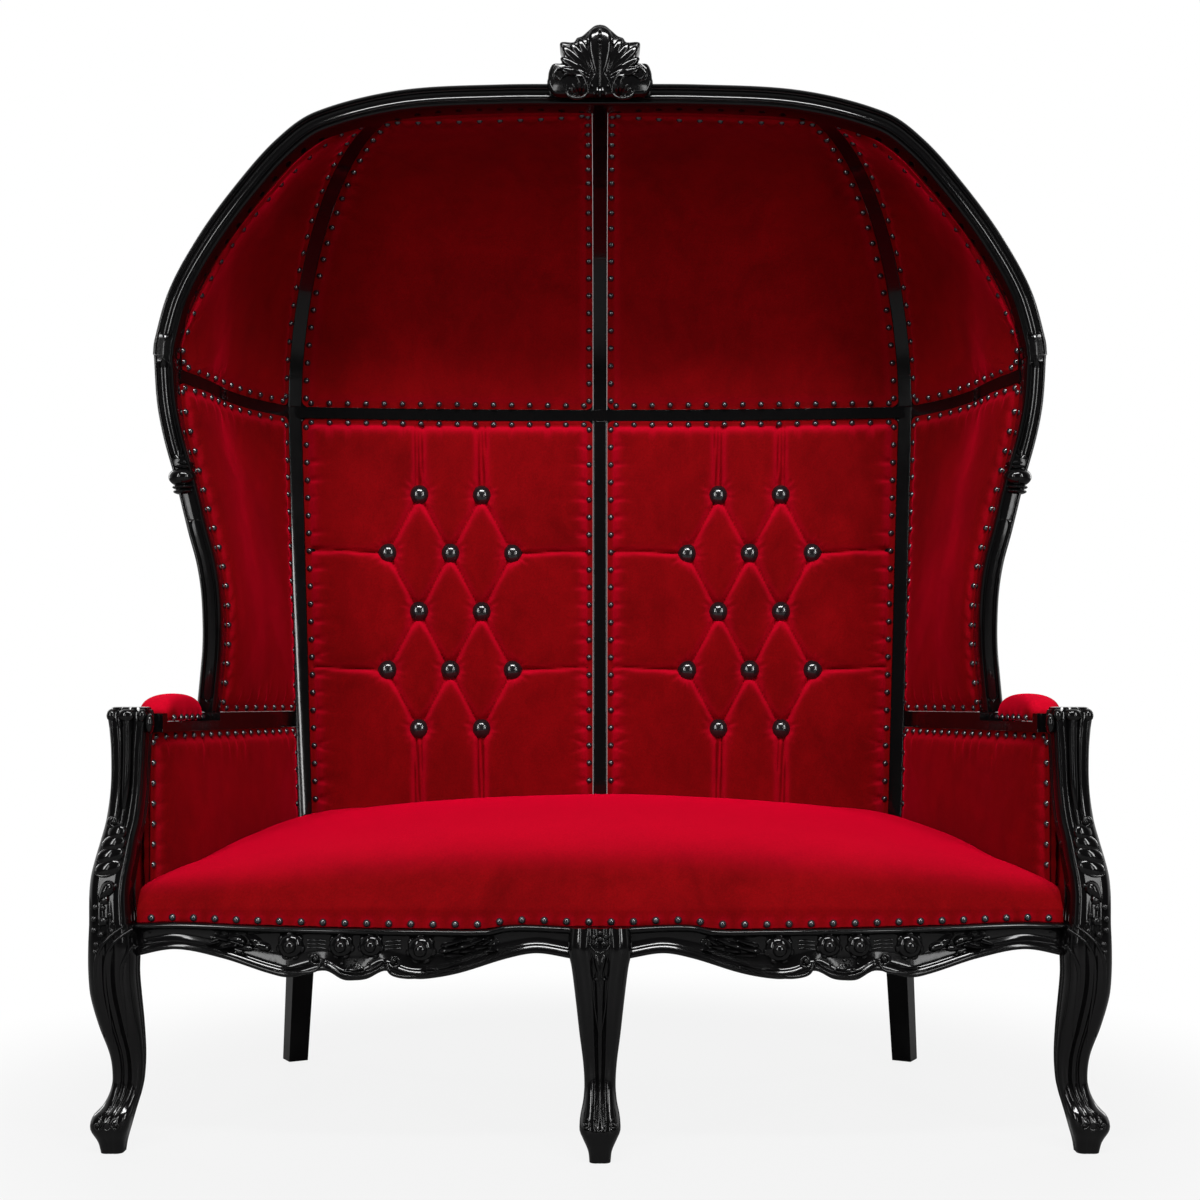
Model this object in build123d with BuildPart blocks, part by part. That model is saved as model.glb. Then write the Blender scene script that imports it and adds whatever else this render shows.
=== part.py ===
from build123d import *
import os
from math import acos, asin, cos, degrees, hypot, radians, sin

os.makedirs("parts", exist_ok=True)

# A two-seat settee with a hood. X runs across, Y runs from the front to the back, Z is up from the floor.
# The right-hand pieces stand at +X and the left-hand ones are their mirror images.

# Levels, each measured from the piece that carries it
leg_height = 336 * MM
post_foot_sink = 6 * MM
seat_lift = 1 * MM
rail_height = 38 * MM
rail_crest_rise = 9 * MM
arm_height = 277 * MM
arm_thickness = 28 * MM
arm_pad_sink = 13 * MM
arm_post_rise = 10 * MM
arm_pad_height = 43 * MM
wing_height = 564 * MM
mid_rail_drop = 25 * MM
ball_drop = 189 * MM
hood_height = 428 * MM
crest_height = 85 * MM
crest_lap = 26 * MM

rail_top = leg_height - post_foot_sink
rail_bottom = rail_top - rail_height
seat_base = leg_height + seat_lift
arm_bottom = leg_height + arm_height
arm_top = arm_bottom + arm_thickness
arm_pad_seat = arm_top - arm_pad_sink
arm_post_top = arm_top + arm_post_rise
arm_pad_top = arm_pad_seat + arm_pad_height
arch_joint_level = arm_top + wing_height
mid_rail_level = arch_joint_level - mid_rail_drop
ball_level = arch_joint_level - ball_drop
arch_top = arch_joint_level + hood_height
crest_top = arch_top + crest_height

# Depths, along Y
knee_front = -384 * MM
rail_front_center = -361 * MM
rail_front_end = -306 * MM
arm_post_back = -258 * MM
arch_front = -104 * MM
stile_front_low = -36 * MM
post_back_low = 283 * MM
post_back_high = 297.5 * MM
back_center_low = 318 * MM
back_center_high = 334 * MM
rear_foot_back = 359 * MM

# Half widths, along X
knee_side = 745 * MM
arch_side = 689 * MM
post_side_low = 526 * MM
post_side_high = 550 * MM
rear_foot_side = 560 * MM
hood_rib_side = 355 * MM
wall_front_side = 668 * MM

# Sections of the frame
bar_width = 25 * MM
bar_depth = 28 * MM
mid_rail_height = 20 * MM
molding_width = 34 * MM
stile_width = 31 * MM
molding_depth = 42 * MM
molding_bead = 6 * MM
molding_hollow = 5 * MM
front_rail_depth = 34 * MM
front_rail_cove = 6 * MM
front_rail_bead = 8 * MM
front_rail_lip = 12 * MM
seat_edge_back = 7.6 * MM
side_rail_thickness = 30 * MM
edge_round = 2.4 * MM
ball_radius = 19 * MM
ball_shift = 7 * MM
corner_turn = 29

# Upholstery
fit = 0.4 * MM
wall_front_gap = 1.6 * MM
pad_thickness = 22 * MM
cover_thickness = 4 * MM
back_crown = 14 * MM
side_crown = 10 * MM
hood_crown = 9 * MM
wall_bow = 24 * MM
seat_rise = 163 * MM
seat_crown = seat_base + seat_rise
webbing_width = 50 * MM
webbing_thickness = 1.8 * MM
webbing_pitch = 150 * MM
dust_cover_thickness = 1.5 * MM

# Trim
nail_radius = 4.7 * MM
nail_height = 4 * MM
nail_pitch = 32 * MM
nail_inset = 7 * MM
button_radius = 17 * MM
button_height = 9 * MM
dimple_depth = 7 * MM
dimple_spread = 10 * MM
pocket_gap = 1 * MM
button_pitch_across = 113 * MM
button_pitch_up = 106 * MM
button_center_side = 272 * MM
button_drop = 359 * MM
button_center_level = mid_rail_level - button_drop
dowel_radius = 4 * MM
dowel_length = 40 * MM
overrun = 20 * MM

half_bar = bar_width / 2
arch_back = arch_front + molding_depth
arch_line = arch_top - molding_width / 2
back_plane_tilt = stile_front_low - arch_front


def blend(low, high, share):
    return low + (high - low) * share


def save(piece, name):
    piece.part.label = name
    export_step(piece.part, f"parts/{name}.step")


def twin(piece):
    with BuildPart() as other:
        mirror(piece.part, about=Plane.YZ)
    return other


def save_pair(piece, name):
    save(piece, f"{name}_right")
    save(twin(piece), f"{name}_left")


# Where the corner posts and the middle of the back stand at each level.


def post_share(level):
    return (level - rail_top) / (mid_rail_level - rail_top)


def corner_point(level):
    share = post_share(level)
    return Vector(
        blend(post_side_low, post_side_high, share),
        blend(post_back_low, post_back_high, share),
    )


def back_center(level):
    return Vector(0, blend(back_center_low, back_center_high, post_share(level)))


corner_out = Vector(sin(radians(corner_turn)), cos(radians(corner_turn)))
corner_along = Vector(cos(radians(corner_turn)), -sin(radians(corner_turn)))
straight_back = Vector(0, 1)
straight_out = Vector(1, 0)


# The stile's middle line: its offset from the arch's widest half width, and its level, as shares.
stile_span = arch_joint_level - arm_top
stile_line_shares = (
    (1.000, 1.018),
    (1.000, 1.000),
    (0.996, 0.872),
    (0.983, 0.775),
    (0.960, 0.665),
    (0.933, 0.516),
    (0.916, 0.431),
    (0.907, 0.348),
    (0.905, 0.255),
    (0.907, 0.186),
    (0.913, 0.117),
    (0.925, 0.000),
    (0.928, -0.018),
)


def stile_offset(level):
    share = (level - arm_top) / stile_span
    rows = sorted((height, offset) for offset, height in stile_line_shares)
    for (low, start), (high, end) in zip(rows, rows[1:]):
        if share <= high:
            return arch_side * blend(start, end, (share - low) / (high - low))
    return arch_side


def stile_back(level):
    share = (arch_joint_level - level) / stile_span
    return arch_back + back_plane_tilt * share


# The arch's middle line, from its crown to the joint with the stile: shares of its half width and rise.
arch_rise = arch_line - arch_joint_level
arch_line_shares = (
    (0.000, 1.000),
    (0.232, 0.999),
    (0.457, 0.977),
    (0.642, 0.898),
    (0.723, 0.803),
    (0.807, 0.647),
    (0.897, 0.443),
    (0.964, 0.241),
    (0.997, 0.051),
    (1.000, 0.000),
)
arch_line_points = [
    Vector(arch_side * side, arch_joint_level + arch_rise * rise)
    for side, rise in arch_line_shares
]


def wall_side_front(level):
    return Vector(stile_offset(level) - stile_width / 2 - fit, stile_back(level) + fit)


def bar_side(level, side):
    return corner_point(level) + corner_along * (side * (half_bar + fit))


# A wall's plan at one level: its inner line runs from a to b, and bow bends it outwards.
wall_bow_shares = ((0.25, 0.20), (0.50, 0.90), (0.75, 0.85))
wall_crown_shares = (0.75, 1.00, 0.75)


def side_wall_points(start, end, bow, crown, depth):
    run = end - start
    out = Vector(run.Y, -run.X).normalized()
    points = [start + out * depth]
    for (share, bend), puff in zip(wall_bow_shares, wall_crown_shares):
        shift = bow * bend - crown * puff + depth
        points.append(start + run * share + out * shift)
    points.append(end + out * depth)
    return points


def side_bay(levels, depth, thickness, front, bow_of):
    """A closed bay of one wing, lofted through plans that each have a level and a crown."""
    with BuildPart() as bay:
        for level, crown in levels:
            start = front(level)
            end = bar_side(level, 1)
            bow = bow_of(level)
            run = (end - start).normalized()
            back_shift = corner_out * depth
            inner = side_wall_points(start, end, bow, crown, 0)
            outer = side_wall_points(start, end, bow, 0, depth + thickness)
            if depth:
                inner = side_wall_points(start, end, bow, 0, depth)
            first_inner = start + straight_out * depth
            first_outer = start + straight_out * (depth + thickness)
            last_inner = end + back_shift
            last_outer = end + corner_out * (depth + thickness)
            with BuildSketch(Plane.XY.offset(level)):
                with BuildLine():
                    ThreePointArc(first_inner, inner[1], inner[2])
                    ThreePointArc(inner[2], inner[3], last_inner)
                    Line(last_inner, last_outer)
                    ThreePointArc(last_outer, outer[3], outer[2])
                    ThreePointArc(outer[2], outer[1], first_outer)
                    Line(first_outer, first_inner)
                make_face()
        loft()
    return bay


def back_bay(levels, depth, thickness):
    """A closed bay of the right half of the back, between the middle post and the corner post."""
    with BuildPart() as bay:
        for level, crown in levels:
            corner = bar_side(level, -1)
            middle = back_center(level)
            inner_start = middle + straight_out * (half_bar + fit) + straight_back * depth
            inner_end = corner + corner_out * depth
            outer_start = inner_start + straight_back * thickness
            outer_end = inner_end + corner_out * thickness
            sag = (middle.Y - corner.Y) / 4
            rise = straight_back * sag
            halfway = (inner_start + inner_end) / 2 + rise - straight_back * crown
            outer_halfway = (outer_start + outer_end) / 2 + rise
            with BuildSketch(Plane.XY.offset(level)):
                with BuildLine():
                    ThreePointArc(inner_start, halfway, inner_end)
                    Line(inner_end, outer_end)
                    ThreePointArc(outer_end, outer_halfway, outer_start)
                    Line(outer_start, inner_start)
                make_face()
        loft()
    return bay


# Front legs and arm posts: each row is a level, then the outer, inner, front and back faces, as shares.
leg_width = 70 * MM
leg_depth = 79 * MM
leg_rows = (
    (0.000, 0.77, 0.30, 0.27, 0.70),
    (0.050, 0.83, 0.26, 0.23, 0.72),
    (0.113, 0.96, 0.16, 0.10, 0.68),
    (0.165, 0.91, 0.10, 0.12, 0.74),
    (0.205, 0.74, 0.06, 0.26, 0.80),
    (0.255, 0.63, 0.00, 0.38, 0.83),
    (0.313, 0.58, -0.05, 0.42, 0.85),
    (0.417, 0.63, -0.07, 0.38, 0.91),
    (0.550, 0.82, -0.05, 0.21, 0.92),
    (0.685, 0.97, 0.00, 0.08, 0.92),
    (0.780, 1.00, 0.03, 0.03, 0.91),
    (0.893, 1.00, 0.02, 0.01, 0.90),
    (1.000, 0.98, 0.08, 0.03, 0.89),
)
leg_front = -334 * MM
leg_base = knee_side - leg_width


def block_section(level, left, right, front, back, round_share):
    middle_x = (left + right) / 2
    middle_y = (front + back) / 2
    radius = min(right - left, back - front) * round_share
    with BuildSketch(Plane.XY.offset(level)) as section:
        with Locations((middle_x, middle_y)):
            RectangleRounded(right - left, back - front, radius)
    return section.sketch


leg_round_share = 0.30

with BuildPart() as front_leg:
    for height, outer, inner, front, back in leg_rows:
        add(
            block_section(
                leg_height * height,
                leg_base + leg_width * inner,
                leg_base + leg_width * outer,
                leg_front + leg_depth * front,
                leg_front + leg_depth * back,
                leg_round_share,
            )
        )
    loft()
save_pair(front_leg, "front_leg")

center_leg_half = 46 * MM
center_leg_depth = 76 * MM
center_leg_rows = (
    (0.000, 0.33, 0.24, 0.68),
    (0.050, 0.37, 0.18, 0.71),
    (0.104, 0.53, 0.08, 0.76),
    (0.140, 0.635, 0.04, 0.82),
    (0.188, 0.615, 0.11, 0.87),
    (0.244, 0.53, 0.24, 0.92),
    (0.324, 0.49, 0.34, 0.95),
    (0.417, 0.53, 0.36, 0.97),
    (0.539, 0.64, 0.26, 1.00),
    (0.690, 0.76, 0.13, 1.00),
    (0.833, 0.89, 0.03, 0.97),
    (0.908, 1.00, 0.00, 0.95),
    (1.000, 0.95, 0.05, 0.92),
)

rebate_width = 3 * center_leg_half

with BuildPart() as center_front_leg:
    for height, half, front, back in center_leg_rows:
        add(
            block_section(
                leg_height * height,
                -center_leg_half * half,
                center_leg_half * half,
                knee_front + center_leg_depth * front,
                knee_front + center_leg_depth * back,
                leg_round_share,
            )
        )
    loft()
    with BuildSketch(Plane.XY.offset(rail_top)):
        with Locations((0, rail_front_center + seat_edge_back - fit)):
            Rectangle(rebate_width, center_leg_depth, align=(Align.CENTER, Align.MIN))
    extrude(amount=overrun, mode=Mode.SUBTRACT)
save(center_front_leg, "center_front_leg")

# The arm post flares out again below the arm, so its faces are shares of the leg's width and depth too.
arm_post_height = arm_post_top - leg_height
arm_post_rows = (
    (0.000, 0.98, 0.12, 0.04),
    (0.133, 0.985, 0.16, 0.08),
    (0.216, 0.97, 0.13, 0.13),
    (0.295, 0.90, 0.07, 0.19),
    (0.378, 0.80, 0.02, 0.24),
    (0.479, 0.69, -0.07, 0.29),
    (0.629, 0.61, -0.135, 0.33),
    (0.797, 0.605, -0.17, 0.33),
    (0.902, 0.64, -0.21, 0.33),
    (0.965, 0.67, -0.23, 0.33),
    (1.000, 0.62, -0.17, 0.40),
)

with BuildPart() as arm_support:
    for height, outer, inner, front in arm_post_rows:
        add(
            block_section(
                leg_height + arm_post_height * height,
                leg_base + leg_width * inner,
                leg_base + leg_width * outer,
                leg_front + leg_depth * front,
                arm_post_back,
                leg_round_share,
            )
        )
    loft()
save_pair(arm_support, "arm_support")

# Rear posts: a raked leg, then the corner post of the back.
rear_foot_width = 36 * MM
rear_leg_width = 42 * MM


def turned_section(level, center, width, depth):
    turned = Plane(origin=(center.X, center.Y, level), x_dir=(corner_along.X, corner_along.Y, 0))
    with BuildSketch(turned) as section:
        Rectangle(width, depth)
    return section.sketch


def post_center(level):
    return corner_point(level) + corner_out * (bar_depth / 2)


with BuildPart() as rear_post:
    foot = Vector(rear_foot_side, rear_foot_back)
    add(turned_section(0, foot, rear_foot_width, rear_foot_width))
    add(turned_section(rail_top, post_center(rail_top), rear_leg_width, rear_leg_width))
    loft()
    add(turned_section(rail_top, post_center(rail_top), bar_width, bar_depth))
    post_high = mid_rail_level + mid_rail_height / 2
    add(turned_section(post_high, post_center(post_high), bar_width, bar_depth))
    loft()
save_pair(rear_post, "rear_post")

# Front rail: a waved outline, bowed forward in plan, with a bead above, a lip below and a cove between.
rail_lap = 6 * MM
rail_tenon = 8 * MM
rail_inner = center_leg_half - rail_lap
rail_outer = leg_base + rail_tenon
rail_run = rail_outer - rail_inner
rail_drop = 81 * MM
rail_crest_level = rail_top + rail_crest_rise
rail_top_shares = (
    (1.00, 0.06),
    (0.89, 0.02),
    (0.73, 0.055),
    (0.52, 0.08),
    (0.31, 0.09),
    (0.19, 0.083),
    (0.145, 0.010),
    (0.09, 0.000),
    (0.00, 0.035),
)
rail_low_shares = (
    ((1.00, 0.66), (0.90, 0.51), (0.79, 0.655), (0.68, 0.915), (0.635, 0.975), (0.555, 0.845)),
    ((0.555, 0.845), (0.514, 1.00), (0.489, 1.012), (0.459, 0.98), (0.418, 0.835)),
    (
        (0.418, 0.835),
        (0.365, 0.958),
        (0.327, 0.97),
        (0.253, 0.865),
        (0.143, 0.595),
        (0.078, 0.505),
        (0.00, 0.60),
    ),
)


def rail_point(shares, rise):
    side, drop = shares
    return (rail_inner + rail_run * side, rail_crest_level - rail_drop * drop + rise)


def rail_bow(side, shift):
    """How far forward the rail's face stands at an offset from the middle."""
    share = side / rail_outer
    return blend(rail_front_center, rail_front_end, share * share) + shift


def rail_plan(front, back):
    with BuildSketch() as plan:
        with BuildLine():
            face = ThreePointArc(
                (rail_inner, rail_bow(rail_inner, front)),
                ((rail_inner + rail_outer) / 2, rail_bow((rail_inner + rail_outer) / 2, front)),
                (rail_outer, rail_bow(rail_outer, front)),
            )
            rear = ThreePointArc(
                (rail_inner, rail_bow(rail_inner, back)),
                ((rail_inner + rail_outer) / 2, rail_bow((rail_inner + rail_outer) / 2, back)),
                (rail_outer, rail_bow(rail_outer, back)),
            )
            Line(face @ 0, rear @ 0)
            Line(face @ 1, rear @ 1)
        make_face()
    return plan.sketch


def rail_strip(low_rise, high_fall, from_low, from_top):
    """The outline between the waved lower edge and the waved top, or a strip along one of them."""
    with BuildSketch(Plane.XZ) as strip:
        with BuildLine():
            if from_top:
                Spline(*[rail_point(p, 0) for p in rail_top_shares])
            else:
                for wave in reversed(rail_low_shares):
                    Spline(*[rail_point(p, low_rise) for p in reversed(wave)])
            if from_low:
                for wave in rail_low_shares:
                    Spline(*[rail_point(p, 0) for p in wave])
            else:
                Spline(*[rail_point(p, -high_fall) for p in rail_top_shares])
            ends = [rail_point(rail_top_shares[0], 0), rail_point(rail_top_shares[-1], 0)]
            for index, end in enumerate(ends):
                top = end[1] if from_top else rail_point(rail_low_shares[-index][-index], low_rise)[1]
                low = rail_point(rail_low_shares[-index][-index], 0)[1] if from_low else end[1] - high_fall
                Line((end[0], top), (end[0], low))
        make_face()
    return strip.sketch


def rail_band(strip, front, back):
    with BuildPart() as band:
        extrude(strip, amount=-knee_front + overrun, both=True)
        extrude(rail_plan(front, back), amount=rail_crest_level + overrun, both=True, mode=Mode.INTERSECT)
    return band.part


with BuildPart() as front_rail:
    add(rail_band(rail_strip(0, 0, True, True), front_rail_cove, front_rail_depth))
    add(rail_band(rail_strip(0, front_rail_bead, False, True), 0, front_rail_depth / 2))
    add(rail_band(rail_strip(front_rail_lip, 0, True, False), 0, front_rail_depth / 2))
    with BuildSketch(Plane.XY.offset(rail_top)):
        add(rail_plan(seat_edge_back - fit, front_rail_depth + overrun))
    extrude(amount=overrun, mode=Mode.SUBTRACT)
    add(front_leg.part, mode=Mode.SUBTRACT)
    add(center_front_leg.part, mode=Mode.SUBTRACT)
    add(arm_support.part, mode=Mode.SUBTRACT)
save_pair(front_rail, "front_rail")

# Side and back seat rails, brace and corner blocks.
rail_end_gap = 4 * MM
side_rail_front = Vector(wall_front_side - rail_end_gap, arm_post_back + rail_end_gap)
side_rail_back = corner_point(rail_top) + corner_along * half_bar

with BuildPart() as side_seat_rail:
    with BuildSketch(Plane.XY.offset(rail_bottom)):
        with BuildLine():
            Polyline(
                side_rail_front,
                side_rail_front + straight_out * side_rail_thickness,
                side_rail_back + straight_out * side_rail_thickness,
                side_rail_back,
                close=True,
            )
        make_face()
    extrude(amount=rail_height)
    add(rear_post.part, mode=Mode.SUBTRACT)
    add(front_leg.part, mode=Mode.SUBTRACT)
save_pair(side_seat_rail, "side_seat_rail")

both_posts = [rear_post.part, twin(rear_post).part]
back_rail_lead = 12 * MM
back_rail_front = back_center_low - back_rail_lead

with BuildPart() as back_seat_rail:
    with BuildSketch(Plane.XY.offset(rail_bottom)):
        with Locations((0, back_rail_front + side_rail_thickness / 2)):
            Rectangle(2 * post_side_low, side_rail_thickness)
    extrude(amount=rail_height)
    for post in both_posts:
        add(post, mode=Mode.SUBTRACT)
save(back_seat_rail, "back_seat_rail")

brace_width = 50 * MM
brace_height = 20 * MM
brace_rise = 12 * MM
brace_gap = 16 * MM
brace_front = rail_front_center + front_rail_depth + brace_gap

with BuildPart() as seat_brace:
    with BuildSketch(Plane.XY.offset(rail_bottom + brace_rise)):
        with Locations((0, (brace_front + back_rail_front) / 2)):
            Rectangle(brace_width, back_rail_front - brace_front)
    extrude(amount=brace_height)
    add(center_front_leg.part, mode=Mode.SUBTRACT)
save(seat_brace, "seat_brace")

block_height = 28 * MM
block_reach = 90 * MM
block_rise = 10 * MM
block_lap = 8 * MM
block_level = rail_bottom + block_rise
front_block_corner = Vector(rail_outer, rail_front_end + front_rail_depth - block_lap)
rear_block_corner = Vector(post_side_low + block_lap, back_rail_front)

with BuildPart() as corner_blocks:
    for corner, toward in ((front_block_corner, 1), (rear_block_corner, -1)):
        with BuildSketch(Plane.XY.offset(block_level)):
            with BuildLine():
                Polyline(
                    corner,
                    corner - straight_out * block_reach,
                    corner + straight_back * (block_reach * toward),
                    close=True,
                )
            make_face()
        extrude(amount=block_height)
    for neighbour in (front_rail, side_seat_rail, front_leg, rear_post, arm_support, back_seat_rail):
        add(neighbour.part, mode=Mode.SUBTRACT)
    mirror(about=Plane.YZ)
save(corner_blocks, "corner_blocks")

# Arms: a rail from the front post to the corner post, cut down where the arm pad sits.
arm_run_back = post_back_low - bar_depth
arm_inner_shares = ((0.973, 0.00), (0.949, 0.23), (0.916, 0.44), (0.895, 0.56), (0.826, 1.00))
arm_outer_shares = ((1.078, 0.00), (1.066, 0.21), (1.000, 0.50), (0.904, 1.00))
arm_tail = 40 * MM
arm_tail_turn = 9 * MM
arm_tail_outer = 30 * MM
pad_front_gap = 20 * MM


def arm_line_point(shares):
    side, along = shares
    return Vector(wall_front_side * side, blend(arm_post_back, arm_run_back, along))


with BuildPart() as arm:
    with BuildSketch(Plane.XY.offset(arm_bottom)):
        with BuildLine():
            inner_line = Spline(*[arm_line_point(p) for p in arm_inner_shares])
            outer_line = Spline(*[arm_line_point(p) for p in arm_outer_shares])
            Line(inner_line @ 0, outer_line @ 0)
            tail_inner = inner_line @ 1 + straight_back * arm_tail - straight_out * arm_tail_turn
            tail_outer = outer_line @ 1 + straight_back * arm_tail_outer
            Polyline(inner_line @ 1, tail_inner, tail_outer, outer_line @ 1)
        make_face()
    extrude(amount=arm_top - arm_bottom)
    pad_zone = stile_front_low - arm_post_back - pad_front_gap
    pad_zone_width = 2 * (knee_side - wall_front_side)
    with BuildSketch(Plane.XY.offset(arm_pad_seat)):
        with Locations((wall_front_side, stile_front_low - pad_zone / 2)):
            Rectangle(pad_zone_width, pad_zone)
    extrude(amount=overrun, mode=Mode.SUBTRACT)
    add(rear_post.part, mode=Mode.SUBTRACT)
    add(arm_support.part, mode=Mode.SUBTRACT)

# Stiles and arch: a flat-backed bar with a raised bead along each edge of its front face.
stile_slope = hypot(back_plane_tilt, stile_span)
stile_plane = Plane(
    origin=(0, arch_front + molding_depth / 2, arch_joint_level),
    x_dir=(1, 0, 0),
    z_dir=(0, -stile_span, -back_plane_tilt),
)
stile_line = [Vector(arch_side * side, stile_slope * (share - 1)) for side, share in stile_line_shares]
arch_plane = Plane.XZ.offset(-arch_front - molding_depth / 2)


def shifted_line(line, shift, first_way, last_way):
    """The line's points moved square to it by shift; the ways are its directions at its two ends."""
    ways = [first_way]
    for before, after in zip(line, line[2:]):
        ways.append((after - before).normalized())
    ways.append(last_way)
    return [point + Vector(-way.Y, way.X) * shift for point, way in zip(line, ways)]


def molded_bar(plane, line, half, first_way, last_way):
    strips = (
        (-half, half, molding_depth - molding_hollow),
        (-half, molding_bead - half, molding_depth),
        (half - molding_bead, half, molding_depth),
        (-molding_bead / 4, molding_bead / 4, molding_depth - molding_hollow / 2),
    )
    with BuildPart() as bar:
        for near, far, height in strips:
            inner = shifted_line(line, near, first_way, last_way)
            outer = shifted_line(line, far, first_way, last_way)
            with BuildSketch(plane.offset(-molding_depth / 2)):
                with BuildLine():
                    Spline(*[(p.X, p.Y) for p in inner], tangents=(first_way, last_way))
                    Spline(*[(p.X, p.Y) for p in outer], tangents=(first_way, last_way))
                    Line((inner[0].X, inner[0].Y), (outer[0].X, outer[0].Y))
                    Line((inner[-1].X, inner[-1].Y), (outer[-1].X, outer[-1].Y))
                make_face()
            extrude(amount=height)
        front_plane = plane.offset(molding_depth / 2)
        front_edges = bar.edges().filter_by(
            lambda edge: abs(front_plane.to_local_coords(edge.center()).Z) < edge_round / 10
            and edge.length > stile_span / 4
        )
        fillet(front_edges, edge_round)
    return bar


downward = Vector(0, -1)
with BuildPart() as stile:
    add(molded_bar(stile_plane, stile_line, stile_width / 2, downward, downward).part)
    split(bisect_by=Plane.XY.offset(arm_top), keep=Keep.TOP)
    split(bisect_by=Plane.XY.offset(arch_joint_level), keep=Keep.BOTTOM)
    ball_offset = stile_offset(ball_level) + ball_shift
    with Locations((ball_offset, stile_back(ball_level) - molding_depth / 2, ball_level)):
        Sphere(ball_radius)

arch = molded_bar(arch_plane, arch_line_points, molding_width / 2, Vector(1, 0), downward)

# Bars between the panels.
mid_rail_bottom = mid_rail_level - mid_rail_height / 2
post_round_share = 0.1

with BuildPart() as center_back_post:
    for level in (rail_top, mid_rail_bottom):
        middle = back_center(level)
        add(block_section(level, -half_bar, half_bar, middle.Y, middle.Y + bar_depth, post_round_share))
    loft()
save(center_back_post, "center_back_post")

with BuildPart() as back_mid_rail:
    corner = corner_point(mid_rail_level)
    middle = back_center(mid_rail_level)
    with BuildSketch(Plane.XY.offset(mid_rail_bottom)):
        with BuildLine():
            inner_bar = ThreePointArc((-corner.X, corner.Y), (0, middle.Y), (corner.X, corner.Y))
            outer_bar = ThreePointArc(
                (-corner.X, corner.Y + bar_depth),
                (0, middle.Y + bar_depth),
                (corner.X, corner.Y + bar_depth),
            )
            Line(inner_bar @ 0, outer_bar @ 0)
            Line(inner_bar @ 1, outer_bar @ 1)
        make_face()
    extrude(amount=mid_rail_height)
    for post in both_posts:
        add(post, mode=Mode.SUBTRACT)
save(back_mid_rail, "back_mid_rail")


with BuildPart() as side_mid_rail:
    start = wall_side_front(mid_rail_bottom)
    end = corner_point(mid_rail_level) + corner_along * half_bar
    inner = side_wall_points(start, end, wall_bow, 0, 0)
    outer = side_wall_points(start, end, wall_bow, 0, bar_depth)
    with BuildSketch(Plane.XY.offset(mid_rail_bottom)):
        with BuildLine():
            ThreePointArc(inner[0], inner[1], inner[2])
            ThreePointArc(inner[2], inner[3], inner[4])
            Line(inner[4], end + corner_out * bar_depth)
            ThreePointArc(end + corner_out * bar_depth, outer[3], outer[2])
            ThreePointArc(outer[2], outer[1], start + straight_out * bar_depth)
            Line(start + straight_out * bar_depth, start)
        make_face()
    extrude(amount=mid_rail_height)
    add(rear_post.part, mode=Mode.SUBTRACT)
save_pair(side_mid_rail, "side_mid_rail")

# The hood: every bar and panel in it follows a quarter ellipse from the mid rail up to the arch.
hood_top_shares = (
    (0.000, 0.959),
    (0.228, 0.958),
    (0.457, 0.939),
    (0.523, 0.922),
    (0.576, 0.900),
    (0.628, 0.865),
    (0.670, 0.821),
    (0.707, 0.768),
    (0.749, 0.689),
    (0.833, 0.521),
    (0.875, 0.416),
    (0.911, 0.311),
    (0.938, 0.222),
    (0.959, 0.135),
    (0.972, 0.047),
)


def hood_top(side):
    share = side / arch_side
    for (low, start), (high, end) in zip(hood_top_shares, hood_top_shares[1:]):
        if share <= high:
            return arch_joint_level + arch_rise * blend(start, end, (share - low) / (high - low))
    return arch_joint_level


def hood_section(base, side, clear, depth, thickness, crown):
    """The closed outline between two quarter ellipses, on the upright plane from base to the arch."""
    top = Vector(side, arch_back)
    run = base - top
    reach = run.length
    rise = hood_top(side) - mid_rail_level
    upright = Plane(
        origin=(top.X, top.Y, mid_rail_level),
        x_dir=(run.X, run.Y, 0),
        z_dir=(run.Y, -run.X, 0),
    )
    foot = mid_rail_height / 2 + clear
    near = (reach + depth - crown, rise + depth - crown)
    far = (reach + depth + thickness, rise + depth + thickness)
    angles = []
    for across, up in (near, far):
        low_turn = degrees(asin(foot / up))
        angles.append((low_turn, degrees(acos(clear / across)) - low_turn))
    with BuildSketch(upright) as section:
        with BuildLine():
            inner = EllipticalCenterArc((0, 0), *near, start_angle=angles[0][0], arc_size=angles[0][1])
            outer = EllipticalCenterArc((0, 0), *far, start_angle=angles[1][0], arc_size=angles[1][1])
            Line(inner @ 0, outer @ 0)
            Line(inner @ 1, outer @ 1)
        make_face()
    return section.sketch


def hood_bar(base, side):
    with BuildPart() as bar:
        extrude(hood_section(base, side, 0, 0, bar_depth, 0), amount=half_bar, both=True)
    return bar


hood_rib_center = hood_bar(back_center(mid_rail_level), 0)
save(hood_rib_center, "hood_rib_center")
hood_rib = hood_bar(corner_point(mid_rail_level), hood_rib_side)
save_pair(hood_rib, "hood_rib")

rib_run = corner_point(mid_rail_level) - Vector(hood_rib_side, arch_back)
rib_gap = (half_bar + fit) * rib_run.length / rib_run.Y
hood_crown_shares = ((0.00, 0.0), (0.25, 0.8), (0.50, 1.0), (0.75, 0.8), (1.00, 0.0))
hood_side_shares = (
    (0.00, 1.00, 0.0),
    (0.24, 0.79, 0.8),
    (0.51, 0.57, 1.0),
    (0.75, 0.36, 0.9),
    (0.91, 0.18, 0.6),
    (0.995, 0.03, 0.0),
)


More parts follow.
